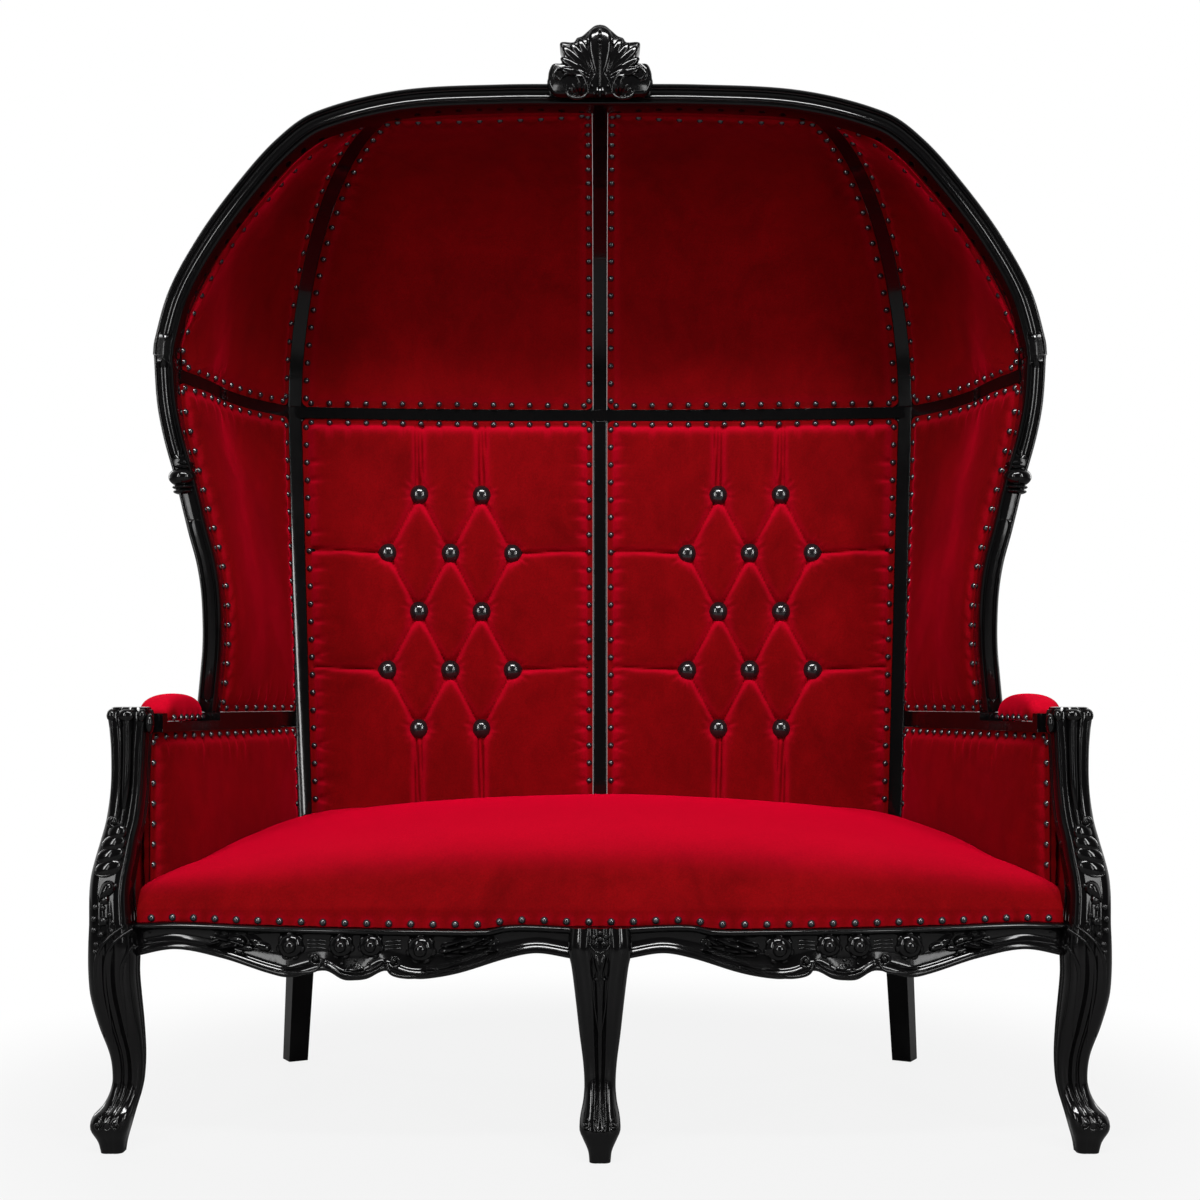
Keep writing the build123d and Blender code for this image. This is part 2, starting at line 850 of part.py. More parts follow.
def hood_bay(depth, thickness, puff):
    with BuildPart() as bay:
        middle = back_center(mid_rail_level)
        corner = bar_side(mid_rail_level, -1)
        first = half_bar + fit
        for share, crown in hood_crown_shares:
            base_side = blend(first, corner.X, share)
            bend = base_side / corner.X
            base = Vector(base_side, blend(middle.Y, corner.Y, bend * bend))
            side = blend(first, hood_rib_side - rib_gap, share)
            add(hood_section(base, side, fit, depth, thickness, crown * puff))
        loft()
    return bay


def side_rail_point(share):
    start = wall_side_front(mid_rail_level)
    end = bar_side(mid_rail_level, 1)
    run = end - start
    out = Vector(run.Y, -run.X).normalized()
    rows = ((0, 0), *wall_bow_shares, (1, 0))
    bend = 0
    for (low, first), (high, last) in zip(rows, rows[1:]):
        if low <= share <= high:
            bend = blend(first, last, (share - low) / (high - low))
    return start + run * share + out * (wall_bow * bend)


def hood_side_bay(depth, thickness, puff):
    with BuildPart() as bay:
        first = hood_rib_side + rib_gap
        last = arch_side - stile_width / 2
        for share, along, crown in hood_side_shares:
            side = blend(first, last, share)
            add(hood_section(side_rail_point(along), side, fit, depth, thickness, crown * puff))
        loft()
    return bay


# Padded panels, each lofted through plans with a level and a crown.
panel_foot_gap = 9 * MM
panel_foot = rail_top + panel_foot_gap
panel_head = mid_rail_bottom - fit
back_levels = (
    (panel_foot, 0.1),
    (blend(panel_foot, panel_head, 0.12), 0.35),
    (blend(panel_foot, panel_head, 0.30), 0.85),
    (blend(panel_foot, panel_head, 0.55), 1.0),
    (blend(panel_foot, panel_head, 0.80), 0.85),
    (blend(panel_foot, panel_head, 0.95), 0.5),
    (panel_head, 0.1),
)
side_foot = arm_top + fit
side_level_shares = (
    (0.00, 0.1),
    (0.08, 0.6),
    (0.18, 1.0),
    (0.28, 1.0),
    (0.45, 1.0),
    (0.60, 1.0),
    (0.75, 1.0),
    (0.92, 0.6),
    (1.00, 0.1),
)
arm_level_shares = ((0.00, 0.1), (0.20, 0.4), (0.50, 0.9), (0.80, 0.9), (1.00, 0.1))
arm_panel_head = arm_bottom - fit
least_bow_share = 0.01


def crowned(levels, crown):
    return [(level, share * crown) for level, share in levels]


def side_bow(level):
    return wall_bow * max((level - arm_top) / (mid_rail_level - arm_top), least_bow_share)


def arm_bow(level):
    return wall_bow * least_bow_share


def arm_wall_front(level):
    return Vector(wall_front_side, arm_post_back + wall_front_gap)


side_levels = [(blend(side_foot, panel_head, share), crown) for share, crown in side_level_shares]
arm_levels = [(blend(panel_foot, arm_panel_head, share), crown) for share, crown in arm_level_shares]
cover_depth = pad_thickness + fit

back_pad = back_bay(crowned(back_levels, back_crown), 0, pad_thickness)
back_cover = back_bay(crowned(back_levels, 0), cover_depth, cover_thickness)
side_pad = side_bay(crowned(side_levels, side_crown), 0, pad_thickness, wall_side_front, side_bow)
side_cover = side_bay(crowned(side_levels, 0), cover_depth, cover_thickness, wall_side_front, side_bow)
arm_panel = side_bay(crowned(arm_levels, side_crown), 0, pad_thickness, arm_wall_front, arm_bow)
arm_cover = side_bay(crowned(arm_levels, 0), cover_depth, cover_thickness, arm_wall_front, arm_bow)
hood_pad = hood_bay(0, pad_thickness, hood_crown)
hood_cover = hood_bay(cover_depth, cover_thickness, 0)
hood_side_pad = hood_side_bay(0, pad_thickness, hood_crown)
hood_side_cover = hood_side_bay(cover_depth, cover_thickness, 0)

for name, piece in (
    ("back_cover", back_cover),
    ("side_pad", side_pad),
    ("side_cover", side_cover),
    ("arm_panel", arm_panel),
    ("arm_cover", arm_cover),
    ("hood_pad", hood_pad),
    ("hood_cover", hood_cover),
    ("hood_side_pad", hood_side_pad),
    ("hood_side_cover", hood_side_cover),
):
    save_pair(piece, name)

# Tufts: each button sits in a flat-bottomed pocket, in rows of two and three.
pad_face = min(back_pad.faces().sort_by(SortBy.AREA)[-2:], key=lambda face: face.center().Y)
button_spots = []
for row in range(-2, 3):
    columns = (-0.5, 0.5) if row % 2 == 0 else (-1, 0, 1)
    for column in columns:
        side = button_center_side + column * button_pitch_across
        button_spots.append((side, button_center_level - row * button_pitch_up))


def seat_on(face, spot, gap):
    """The plane that lies on the face at its point nearest to spot, looking out of the pad."""
    point = face.closest_points(Vertex(*spot))[0]
    normal = face.normal_at(point)
    return Plane(origin=point + normal * gap, z_dir=normal)


pocket_radius = button_radius + pocket_gap
pocket_depth = dimple_depth * 1.4
button_planes = []
for side, level in button_spots:
    spot = (side, back_center(level).Y, level)
    button_planes.append(seat_on(pad_face, spot, -dimple_depth))

with BuildPart() as tufted_back:
    add(back_pad.part)
    with Locations(*[Location(plane) for plane in button_planes]):
        Cone(
            pocket_radius,
            pocket_radius + dimple_spread,
            pocket_depth,
            align=(Align.CENTER, Align.CENTER, Align.MIN),
            mode=Mode.SUBTRACT,
        )
save_pair(tufted_back, "back_pad")


def dome(radius, height):
    """A low domed head, the cap of a ball, standing on its flat back."""
    cap_radius = (radius * radius + height * height) / (2 * height)
    half_turn = asin(radius / cap_radius) / 2
    halfway = (cap_radius * sin(half_turn), cap_radius * cos(half_turn) - cap_radius + height)
    with BuildPart() as head:
        with BuildSketch(Plane.XZ):
            with BuildLine():
                Line((0, 0), (radius, 0))
                ThreePointArc((radius, 0), halfway, (0, height))
                Line((0, height), (0, 0))
            make_face()
        revolve(axis=Axis.Z)
    return head.part


button = dome(button_radius, button_height)
with BuildPart() as tuft_buttons:
    with Locations(*[Location(plane.offset(fit / 4)) for plane in button_planes]):
        add(button)
    mirror(about=Plane.YZ)
save(tuft_buttons, "tuft_buttons")

# Arm pads: small crowned cushions on the cut-down part of the arm.
pad_end_gap = 1 * MM
arm_pad_front = stile_front_low - pad_zone + pad_end_gap
arm_pad_back = stile_front_low - pad_end_gap
arm_pad_rows = (
    (0.00, 0.970, 1.030, 0.45),
    (0.12, 0.961, 1.044, 0.82),
    (0.50, 0.957, 1.036, 1.00),
    (0.88, 0.954, 1.020, 0.85),
    (1.00, 0.956, 1.010, 0.50),
)

with BuildPart() as arm_pad:
    for along, inner, outer, crown in arm_pad_rows:
        low = arm_pad_seat + fit
        left = wall_front_side * inner
        right = wall_front_side * outer
        high = blend(low, arm_pad_top, crown)
        shoulder = blend(low, high, 0.40)
        with BuildSketch(Plane.XZ.offset(-blend(arm_pad_front, arm_pad_back, along))):
            with BuildLine():
                Polyline((left, shoulder), (left, low), (right, low), (right, shoulder))
                ThreePointArc((right, shoulder), ((left + right) / 2, high), (left, shoulder))
            make_face()
    loft()
save_pair(arm_pad, "arm_pad")

# Seat pad: a dome over the seat frame, trimmed to the space between the walls.
webbing_stack = 2 * (webbing_thickness + fit)
seat_low = rail_top + webbing_stack
seat_side_gap = 12 * MM
seat_edge_gap = 0.8 * MM
seat_back_gap = 9 * MM
seat_rows = (
    (0.000, 0.050, -0.440),
    (0.038, 0.337, -0.247),
    (0.082, 0.540, 0.061),
    (0.154, 0.742, 0.331),
    (0.333, 0.933, 0.393),
    (0.530, 1.000, 0.472),
    (0.709, 0.988, 0.538),
    (0.897, 0.933, 0.607),
    (1.000, 0.900, 0.607),
)
seat_half = rail_outer - rail_end_gap
wall_line_back = bar_side(rail_top, 1)
seat_corner = corner_point(rail_top) - corner_out * seat_back_gap

with BuildPart() as seat_pad:
    for along, middle, side in seat_rows:
        high = blend(seat_base, seat_crown, middle)
        low = blend(seat_base, seat_crown, side)
        with BuildSketch(Plane.XZ.offset(-blend(rail_front_center, back_center_low, along))):
            with BuildLine():
                ThreePointArc((-seat_half, low), (0, high), (seat_half, low))
                Polyline((seat_half, low), (seat_half, 0), (-seat_half, 0), (-seat_half, low))
            make_face()
    loft()
    with BuildSketch(Plane.XY.offset(seat_low)):
        with BuildLine():
            edge = seat_half - seat_edge_gap
            ThreePointArc(
                (-edge, rail_front_end + seat_edge_back),
                (0, rail_front_center + seat_edge_back),
                (edge, rail_front_end + seat_edge_back),
            )
            right_side = (
                (edge, rail_front_end + seat_edge_back),
                (edge, arm_post_back - pad_end_gap),
                (wall_front_side - seat_side_gap, arm_post_back + seat_side_gap),
                (wall_line_back.X - seat_side_gap, wall_line_back.Y - seat_side_gap),
                (seat_corner.X - seat_side_gap, seat_corner.Y),
            )
            Polyline(*right_side)
            Polyline(*[(-side, back) for side, back in right_side])
            ThreePointArc(
                right_side[-1],
                (0, back_center_low - seat_back_gap),
                (-right_side[-1][0], right_side[-1][1]),
            )
        make_face()
    extrude(amount=seat_crown, mode=Mode.INTERSECT)
save(seat_pad, "seat_pad")

# Webbing: straps from front to back, with others across them, on top of the seat rails.
strap_front_gap = 22 * MM
strap_lap = side_rail_thickness * 0.7
strap_end_y = back_rail_front + strap_lap
strap_backs = (strap_end_y, strap_end_y, strap_end_y, wall_line_back.Y)
strap_rows = 3

with BuildPart() as seat_webbing:
    for index, back in enumerate(strap_backs):
        side = webbing_pitch * (index + 0.5)
        front = rail_bow(side, strap_front_gap)
        with BuildSketch(Plane.XY.offset(rail_top + fit / 2)):
            with Locations((side, (front + back) / 2)):
                Rectangle(webbing_width, back - front)
        extrude(amount=webbing_thickness)
    mirror(about=Plane.YZ)
    for index in range(strap_rows):
        along = webbing_pitch * (index - 1)
        reach = wall_front_side - (wall_front_side - wall_line_back.X) * (
            (along - arm_post_back) / (wall_line_back.Y - arm_post_back)
        )
        with BuildSketch(Plane.XY.offset(rail_top + webbing_thickness + fit)):
            with Locations((0, along)):
                Rectangle(2 * reach, webbing_width)
        extrude(amount=webbing_thickness)
save(seat_webbing, "seat_webbing")

# Dust cover: a cloth panel under the seat, between the rails.
dust_cover_level = rail_bottom + rail_end_gap
dust_side_gap = 8 * MM
dust_back_gap = 40 * MM

with BuildPart() as dust_cover:
    with BuildSketch(Plane.XY.offset(dust_cover_level)):
        with BuildLine():
            half = side_rail_front.X - dust_side_gap
            rear = side_rail_back.X - dust_back_gap
            back = back_rail_front - fit
            front_y = rail_front_end + front_rail_depth + rail_end_gap
            ThreePointArc(
                (-half, front_y),
                (0, rail_front_center + front_rail_depth + fit),
                (half, front_y),
            )
            Polyline((half, front_y), (rear, back), (-rear, back), (-half, front_y))
        make_face()
    extrude(amount=dust_cover_thickness)
    add(center_front_leg.part, mode=Mode.SUBTRACT)
save(dust_cover, "dust_cover")

# Crest: a lobed plate in front of the arch, with petals, side scrolls and a middle rib.
crest_base = arch_top - crest_lap
crest_half = 84 * MM
crest_rise = crest_top - crest_base
crest_plate = 14 * MM
crest_foot = 22 * MM
crest_gap = fit / 2
crest_edge_shares = (
    (0.60, 0.00),
    (0.98, 0.16),
    (0.97, 0.24),
    (0.95, 0.34),
    (0.88, 0.44),
    (0.73, 0.45),
    (0.69, 0.55),
    (0.73, 0.66),
    (0.75, 0.72),
    (0.70, 0.755),
    (0.50, 0.75),
    (0.43, 0.81),
    (0.33, 0.84),
    (0.18, 0.94),
    (0.00, 1.00),
)
crest_petal_shares = (
    (0.14, 0.70, 0.42, 0.10, 8),
    (0.30, 0.60, 0.38, 0.09, 28),
    (0.45, 0.52, 0.34, 0.09, 50),
    (0.50, 0.37, 0.30, 0.08, 75),
)
crest_rib_half = crest_half * 0.10
crest_rib_rise = crest_rise * 0.38
crest_scroll_side = crest_half * 0.52
crest_scroll_radius = crest_half * 0.31
crest_scroll_eye = crest_half * 0.17
crest_front_plane = Plane.XZ.offset(-arch_front + crest_gap)

with BuildPart() as crest:
    outline = [(crest_half * side, crest_base + crest_rise * up) for side, up in crest_edge_shares]
    with BuildSketch(crest_front_plane):
        with BuildLine():
            Polyline(*outline)
            Polyline(*[(-side, up) for side, up in outline])
            Line(outline[0], (-outline[0][0], outline[0][1]))
        make_face()
    extrude(amount=crest_plate)
    with BuildSketch(crest_front_plane):
        with Locations((0, (arch_top + crest_top) / 2 + fit)):
            Rectangle(crest_half, crest_top - arch_top - seat_edge_gap)
    extrude(amount=-crest_foot)
    crest_face = crest_front_plane.offset(crest_plate)
    with BuildSketch(crest_face):
        for side, up, length, width, turn in crest_petal_shares:
            for way in (-1, 1):
                with Locations((way * crest_half * side, crest_base + crest_rise * up)):
                    Ellipse(crest_rise * width, crest_rise * length / 2, rotation=-way * turn)
    extrude(amount=crest_plate / 3)
    with BuildSketch(crest_face):
        with Locations((0, blend(crest_base, crest_top, 0.55))):
            Ellipse(crest_rib_half, crest_rib_rise)
        for way in (-1, 1):
            with Locations((way * crest_scroll_side, blend(crest_base, crest_top, 0.20))):
                Circle(crest_scroll_radius)
                Circle(crest_scroll_eye, mode=Mode.SUBTRACT)
    extrude(amount=crest_plate / 2)
save(crest, "crest")

# Dowels through the joints of the arch, stiles and arms.
dowel_depth = arch_front + molding_depth / 2
stile_foot = Vector(stile_offset(arm_top), stile_back(arm_top) - molding_depth / 2)
dowel_hole = dowel_radius + fit / 4


def dowel_at(radius, length):
    with BuildPart() as dowel:
        with Locations((arch_side, dowel_depth, arch_joint_level), (stile_foot.X, stile_foot.Y, arm_top)):
            Cylinder(radius, length)
    return dowel.part


with BuildPart() as frame_dowels:
    add(dowel_at(dowel_radius, dowel_length))
    mirror(about=Plane.YZ)
    with Locations(Location((0, dowel_depth, arch_line), (0, 90, 0))):
        Cylinder(dowel_radius, dowel_length)
save(frame_dowels, "frame_dowels")

dowel_holes = dowel_at(dowel_hole, dowel_length + fit)
with BuildPart() as doweled_arch:
    add(arch.part)
    add(dowel_holes, mode=Mode.SUBTRACT)
    with Locations(Location((0, dowel_depth, arch_line), (0, 90, 0))):
        Cylinder(dowel_hole, dowel_length + fit, mode=Mode.SUBTRACT)
save_pair(doweled_arch, "arch")
with BuildPart() as doweled_stile:
    add(stile.part)
    add(dowel_holes, mode=Mode.SUBTRACT)
save_pair(doweled_stile, "stile")
with BuildPart() as doweled_arm:
    add(arm.part)
    add(dowel_holes, mode=Mode.SUBTRACT)
save_pair(doweled_arm, "arm")

# Dome nails: a row runs inside each edge of every padded panel.
nail = dome(nail_radius, nail_height)
nail_gap = fit / 4


def nail_spots(face, edges):
    """Evenly spaced spots along the edges, moved in from each edge by the nail inset."""
    middle = face.center()
    spots = []
    for edge in edges:
        count = max(round(edge.length / nail_pitch), 1)
        for index in range(count):
            share = (index + 0.5) / count
            point = edge.position_at(share)
            inward = face.normal_at(point).cross(edge.tangent_at(share)).normalized()
            if inward.dot(middle - point) < 0:
                inward = -inward
            spots.append(seat_on(face, tuple(point + inward * nail_inset), nail_gap))
    return spots


def nail_group(planes, name):
    with BuildPart() as group:
        with Locations(*[Location(plane) for plane in planes]):
            add(nail)
        mirror(about=Plane.YZ)
    save(group, name)


cavity = Vector(0, 0, (arm_top + mid_rail_level) / 2)


def inner_faces(piece):
    """The broad faces of a panel that look into the seat."""
    broad = max(face.area for face in piece.faces()) / 4
    found = []
    for face in piece.faces():
        middle = face.center()
        if face.area > broad and face.normal_at(middle).dot(cavity - middle) > 0:
            found.append(face)
    return found


def seat_level(spot):
    """How high the seat pad stands at a spot in plan."""
    share = (spot.Y - rail_front_center) / (back_center_low - rail_front_center)
    bend = (spot.X / seat_half) ** 2
    for (near, *low_rows), (far, *high_rows) in zip(seat_rows, seat_rows[1:]):
        if share <= far:
            along = (share - near) / (far - near)
            middle, side = (blend(low, high, along) for low, high in zip(low_rows, high_rows))
            return blend(seat_base, seat_crown, blend(middle, side, bend))
    return seat_base


def panel_nails(piece):
    """Nails above the seat along the edges of a panel's inner faces, but not along an edge that two share."""
    faces = inner_faces(piece)
    planes = []
    for face in faces:
        edges = []
        for edge in face.outer_wire().edges():
            others = [other for other in faces if other is not face]
            if all(other.distance_to(edge.center()) > fit for other in others):
                edges.append(edge)
        planes.extend(nail_spots(face, edges))
    return [plane for plane in planes if plane.origin.Z > seat_level(plane.origin) + nail_radius]


nail_group(panel_nails(back_pad), "back_nails")
nail_group(panel_nails(hood_pad) + panel_nails(hood_side_pad), "hood_nails")
nail_group(panel_nails(side_pad), "wing_nails")

arm_pad_side = arm_pad.faces().sort_by(Axis.X)[0]
arm_pad_nails = []
arm_nail_count = 6
arm_nail_rise = 5.6 * MM
arm_nail_level = arm_pad_seat + fit + arm_nail_rise
for index in range(arm_nail_count):
    along = blend(arm_pad_front, arm_pad_back, (index + 0.5) / arm_nail_count)
    spot = (wall_front_side * arm_inner_shares[1][0], along, arm_nail_level)
    arm_pad_nails.append(seat_on(arm_pad_side, spot, nail_gap))
nail_group(panel_nails(arm_panel) + arm_pad_nails, "arm_nails")


def rail_wave(side):
    """The level of the front rail's waved top at an offset from the middle."""
    share = (side - rail_inner) / rail_run
    rows = sorted(rail_top_shares)
    drop = rows[0][1]
    for (low, start), (high, end) in zip(rows, rows[1:]):
        if low <= share <= high:
            drop = blend(start, end, (share - low) / (high - low))
    return rail_crest_level - rail_drop * drop


seat_nail_planes = []
seat_nail_count = int(seat_half / nail_pitch)
for index in range(seat_nail_count):
    side = nail_pitch * (index + 0.5)
    origin = (side, rail_bow(side, seat_edge_back - nail_gap), rail_wave(side) + nail_inset)
    slope = 2 * (rail_front_end - rail_front_center) * side / (rail_outer * rail_outer)
    seat_nail_planes.append(Plane(origin=origin, z_dir=(slope, -1, 0)))
nail_group(seat_nail_planes, "seat_nails")
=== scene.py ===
"""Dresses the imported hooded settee: carved lacquered frame, velvet panels, dome nails and tuft buttons."""

import math

import bmesh
import bpy
from mathutils import Matrix, Vector, noise
from mathutils.bvhtree import BVHTree
from mathutils.kdtree import KDTree


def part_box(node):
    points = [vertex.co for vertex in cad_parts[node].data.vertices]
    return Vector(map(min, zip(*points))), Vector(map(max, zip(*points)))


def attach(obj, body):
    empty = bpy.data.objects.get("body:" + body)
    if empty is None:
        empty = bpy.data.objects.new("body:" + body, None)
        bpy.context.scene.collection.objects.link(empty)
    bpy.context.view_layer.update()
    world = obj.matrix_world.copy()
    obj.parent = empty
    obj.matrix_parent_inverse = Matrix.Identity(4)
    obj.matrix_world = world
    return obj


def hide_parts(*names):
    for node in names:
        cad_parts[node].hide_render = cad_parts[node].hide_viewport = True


bl_info = {
    "name": "Hooded Settee",
    "version": (1, 0, 0),
    "blender": (4, 5, 0),
    "location": "View3D > Sidebar > Settee",
    "description": "Builds the frame, carving and upholstery of a hooded settee around its solids",
    "category": "Object",
}

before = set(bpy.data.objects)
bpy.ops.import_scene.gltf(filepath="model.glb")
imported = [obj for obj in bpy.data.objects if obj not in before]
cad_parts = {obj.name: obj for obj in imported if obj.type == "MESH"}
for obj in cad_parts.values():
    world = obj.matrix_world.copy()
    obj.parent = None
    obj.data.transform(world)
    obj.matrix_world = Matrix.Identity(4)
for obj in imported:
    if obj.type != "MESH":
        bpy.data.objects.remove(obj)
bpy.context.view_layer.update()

MM = 0.001
BODY = "root"

# Levels, depths and half widths of the settee's solids, in millimetres.
RAIL_TOP = 330
LEG_HEIGHT = 336
SEAT_BASE = 337
SEAT_CROWN = 500
ARM_BOTTOM = 613
ARM_TOP = 641
POST_TOP = 651
MID_LEVEL = 1180
MID_HALF = 10
JOINT_LEVEL = 1205
ARCH_TOP = 1633
KNEE_FRONT = -384
RAIL_FRONT_CENTER = -361
RAIL_FRONT_END = -306
POST_BACK = -258
ARCH_FRONT = -104
STILE_FRONT_LOW = -36
MOLDING_DEPTH = 42
ARCH_HALF = 17
STILE_HALF = 15.5
ARCH_SIDE = 689
WALL_FRONT = 668
RIB_SIDE = 355
BAR_HALF = 12.5
FIT = 0.4
BAR_EDGE = BAR_HALF + FIT
CORNER_TURN = math.radians(29)
BACK_MIDDLE = (318, 334)
CORNER_SIDE = (526, 550)
CORNER_BACK = (283, 297.5)
WALL_BOW = 24
SEAT_HALF = 679
SEAT_EDGE_BACK = 7.6
SEAT_BACK_GAP = 9.4
RAIL_INNER = 40
RAIL_OUTER = 683
RAIL_CREST = 339
RAIL_DROP = 81
CREST_HALF = 84
CREST_FOOT = 1607
CREST_HEIGHT = 111


def blend(low, high, share):
    return low + (high - low) * share


def clamp(value, low=0.0, high=1.0):
    return max(low, min(high, value))


def rise(value, low, high):
    """0 below low, 1 above high, and a smooth step between them."""
    share = clamp((value - low) / (high - low))
    return share * share * (3 - 2 * share)


def curve_row(rows, at):
    """The values of a table at a place in its first column, on a smooth curve through its rows."""
    at = clamp(at, rows[0][0], rows[-1][0])
    index = 0
    while index < len(rows) - 2 and at > rows[index + 1][0]:
        index += 1
    near, far = rows[index], rows[index + 1]
    before = rows[max(index - 1, 0)]
    after = rows[min(index + 2, len(rows) - 1)]
    run = far[0] - near[0]
    t = (at - near[0]) / run
    values = []
    for column in range(1, len(near)):
        start = (far[column] - before[column]) / (far[0] - before[0]) * run
        end = (after[column] - near[column]) / (after[0] - near[0]) * run
        a, b = near[column], far[column]
        values.append(
            a * (2 * t**3 - 3 * t**2 + 1)
            + b * (3 * t**2 - 2 * t**3)
            + start * (t**3 - 2 * t**2 + t)
            + end * (t**3 - t**2)
        )
    return values


# Sizes and colours that a user would change.


class SetteeSizes(bpy.types.PropertyGroup):
    nail_diameter: bpy.props.FloatProperty(
        name="Nail diameter", description="Width of a dome nail", default=0.0104, unit="LENGTH"
    )
    nail_height: bpy.props.FloatProperty(
        name="Nail height", description="How far a nail stands out", default=0.0044, unit="LENGTH"
    )
    button_diameter: bpy.props.FloatProperty(
        name="Button diameter", description="Width of a tuft button", default=0.034, unit="LENGTH"
    )
    back_puff: bpy.props.FloatProperty(
        name="Back puff", description="Crown of the tufted back", default=0.015, unit="LENGTH"
    )
    panel_puff: bpy.props.FloatProperty(
        name="Panel puff", description="Crown of the plain panels", default=0.009, unit="LENGTH"
    )
    tuft_depth: bpy.props.FloatProperty(
        name="Tuft depth", description="Depth of the pleats between buttons", default=0.0085, unit="LENGTH"
    )


class SetteeFinishes(bpy.types.PropertyGroup):
    velvet: bpy.props.FloatVectorProperty(
        name="Velvet", description="Pile that leans to light", default=(0.21, 0.0, 0.0015), subtype="COLOR"
    )
    velvet_shade: bpy.props.FloatVectorProperty(
        name="Velvet shade", description="Pile that leans away", default=(0.10, 0.0, 0.0006), subtype="COLOR"
    )
    # Painted sheen: the bright red painted onto steep folds, upward-facing tops and by the seat's nails.
    velvet_painted_sheen: bpy.props.FloatVectorProperty(
        name="Velvet light", description="Pile on folds and tops", default=(0.58, 0.0, 0.018), subtype="COLOR"
    )
    lacquer: bpy.props.FloatVectorProperty(
        name="Lacquer", description="Gloss of the frame", default=(0.0016, 0.0016, 0.0018), subtype="COLOR"
    )
    gunmetal: bpy.props.FloatVectorProperty(
        name="Gunmetal", description="Dome nails", default=(0.005, 0.006, 0.008), subtype="COLOR"
    )
    bare_wood: bpy.props.FloatVectorProperty(
        name="Bare wood", description="Wood inside the frame", default=(0.36, 0.22, 0.11), subtype="COLOR"
    )
    webbing: bpy.props.FloatVectorProperty(
        name="Webbing", description="Straps under the seat", default=(0.30, 0.23, 0.13), subtype="COLOR"
    )
    floor: bpy.props.FloatVectorProperty(
        name="Floor", description="Studio floor", default=(0.2, 0.2, 0.2), subtype="COLOR"
    )


def sizes():
    return bpy.context.scene.settee_sizes


def finishes():
    return bpy.context.scene.settee_finishes


# Shaders.


class Wire:
    """A node's output that Python's operators work on; each operator adds a Math node."""

    def __init__(self, nodes, socket):
        self.nodes = nodes
        self.socket = socket

    def math(self, operation, first, second):
        return self.nodes.node("ShaderNodeMath", {"operation": operation}, {0: first, 1: second})

    def __add__(self, other):
        return self.math("ADD", self, other)

    def __rsub__(self, other):
        return self.math("SUBTRACT", other, self)

    def __mul__(self, other):
        return self.math("MULTIPLY", self, other)

    def larger(self, other):
        return self.math("MAXIMUM", self, other)

    __radd__ = __add__


class Nodes:
    """A node tree, and the one method that adds its nodes."""

    def __init__(self, tree):
        self.tree = tree

    def feed(self, socket, value):
        if isinstance(value, Wire):
            self.tree.links.new(value.socket, socket)
        else:
            socket.default_value = value

    def node(self, kind, settings=None, sockets=None, give=0):
        made = self.tree.nodes.new(kind)
        for key, value in (settings or {}).items():
            setattr(made, key, value)
        for key, value in (sockets or {}).items():
            self.feed(made.inputs[key], value)
        return Wire(self, made.outputs[give])

    def step(self, value, low, high, first, last):
        """A smooth step: first up to low, last from high on."""
        values = {"Value": value, "From Min": low, "From Max": high, "To Min": first, "To Max": last}
        return self.node("ShaderNodeMapRange", {"interpolation_type": "SMOOTHSTEP"}, values)


class Shade(Nodes):
    """A material with one principled surface."""

    def __init__(self, name):
        self.material = bpy.data.materials.new(name)
        self.material.use_nodes = True
        super().__init__(self.material.node_tree)
        self.surface = self.tree.nodes["Principled BSDF"]
        self.place = self.node("ShaderNodeTexCoord", give="Object")

    def noise(self, scale, detail=2.0, roughness=0.5, distortion=0.0, where=None):
        values = {"Vector": where or self.place, "Scale": scale, "Detail": detail}
        values |= {"Roughness": roughness, "Distortion": distortion}
        return self.node("ShaderNodeTexNoise", sockets=values, give="Fac")

    def stretched(self, scale, turn=(0, 0, 0)):
        values = {"Vector": self.place, "Scale": scale, "Rotation": turn}
        return self.node("ShaderNodeMapping", sockets=values)

    def ramp(self, value, low, high):
        """Black up to low and white from high on, with a straight line between them."""
        made = self.node("ShaderNodeValToRGB", sockets={"Fac": value})
        for stop, position, grey in zip(made.socket.node.color_ramp.elements, (low, high), (0, 1)):
            stop.position = position
            stop.color = (grey, grey, grey, 1)
        return made

    def mix(self, factor, first, second):
        """One colour over another, each a wire or three numbers."""
        first, second = (color if isinstance(color, Wire) else (*color, 1) for color in (first, second))
        return self.node("ShaderNodeMix", {"data_type": "RGBA"}, {0: factor, 6: first, 7: second}, 2)

    def bump(self, height, strength, distance):
        values = {"Height": height, "Strength": strength, "Distance": distance}
        return self.node("ShaderNodeBump", sockets=values, give="Normal")

    def finish(self, **values):
        for key, value in values.items():
            self.feed(self.surface.inputs[key.replace("_", " ")], value)
        return self.material


def times(color, share):
    return tuple(part * share for part in color)


def lacquer_material():
    shade = Shade("lacquer")
    haze = shade.noise(11, 3)
    flow = shade.noise(55, 2)
    grain = shade.noise(30, 3, where=shade.stretched((6, 6, 1)))
    base = finishes().lacquer
    brown = (base[0] * 2.0, base[1] * 1.7, base[2] * 1.5)
    return shade.finish(
        Base_Color=shade.mix(haze * grain, base, brown),
        Roughness=haze * 0.08 + flow * 0.05 + 0.055,
        Normal=shade.bump(flow + grain * 0.3, 0.08, 0.0012),
        Specular_IOR_Level=0.24,
        Coat_Weight=0.18,
        Coat_Roughness=0.03,
    )


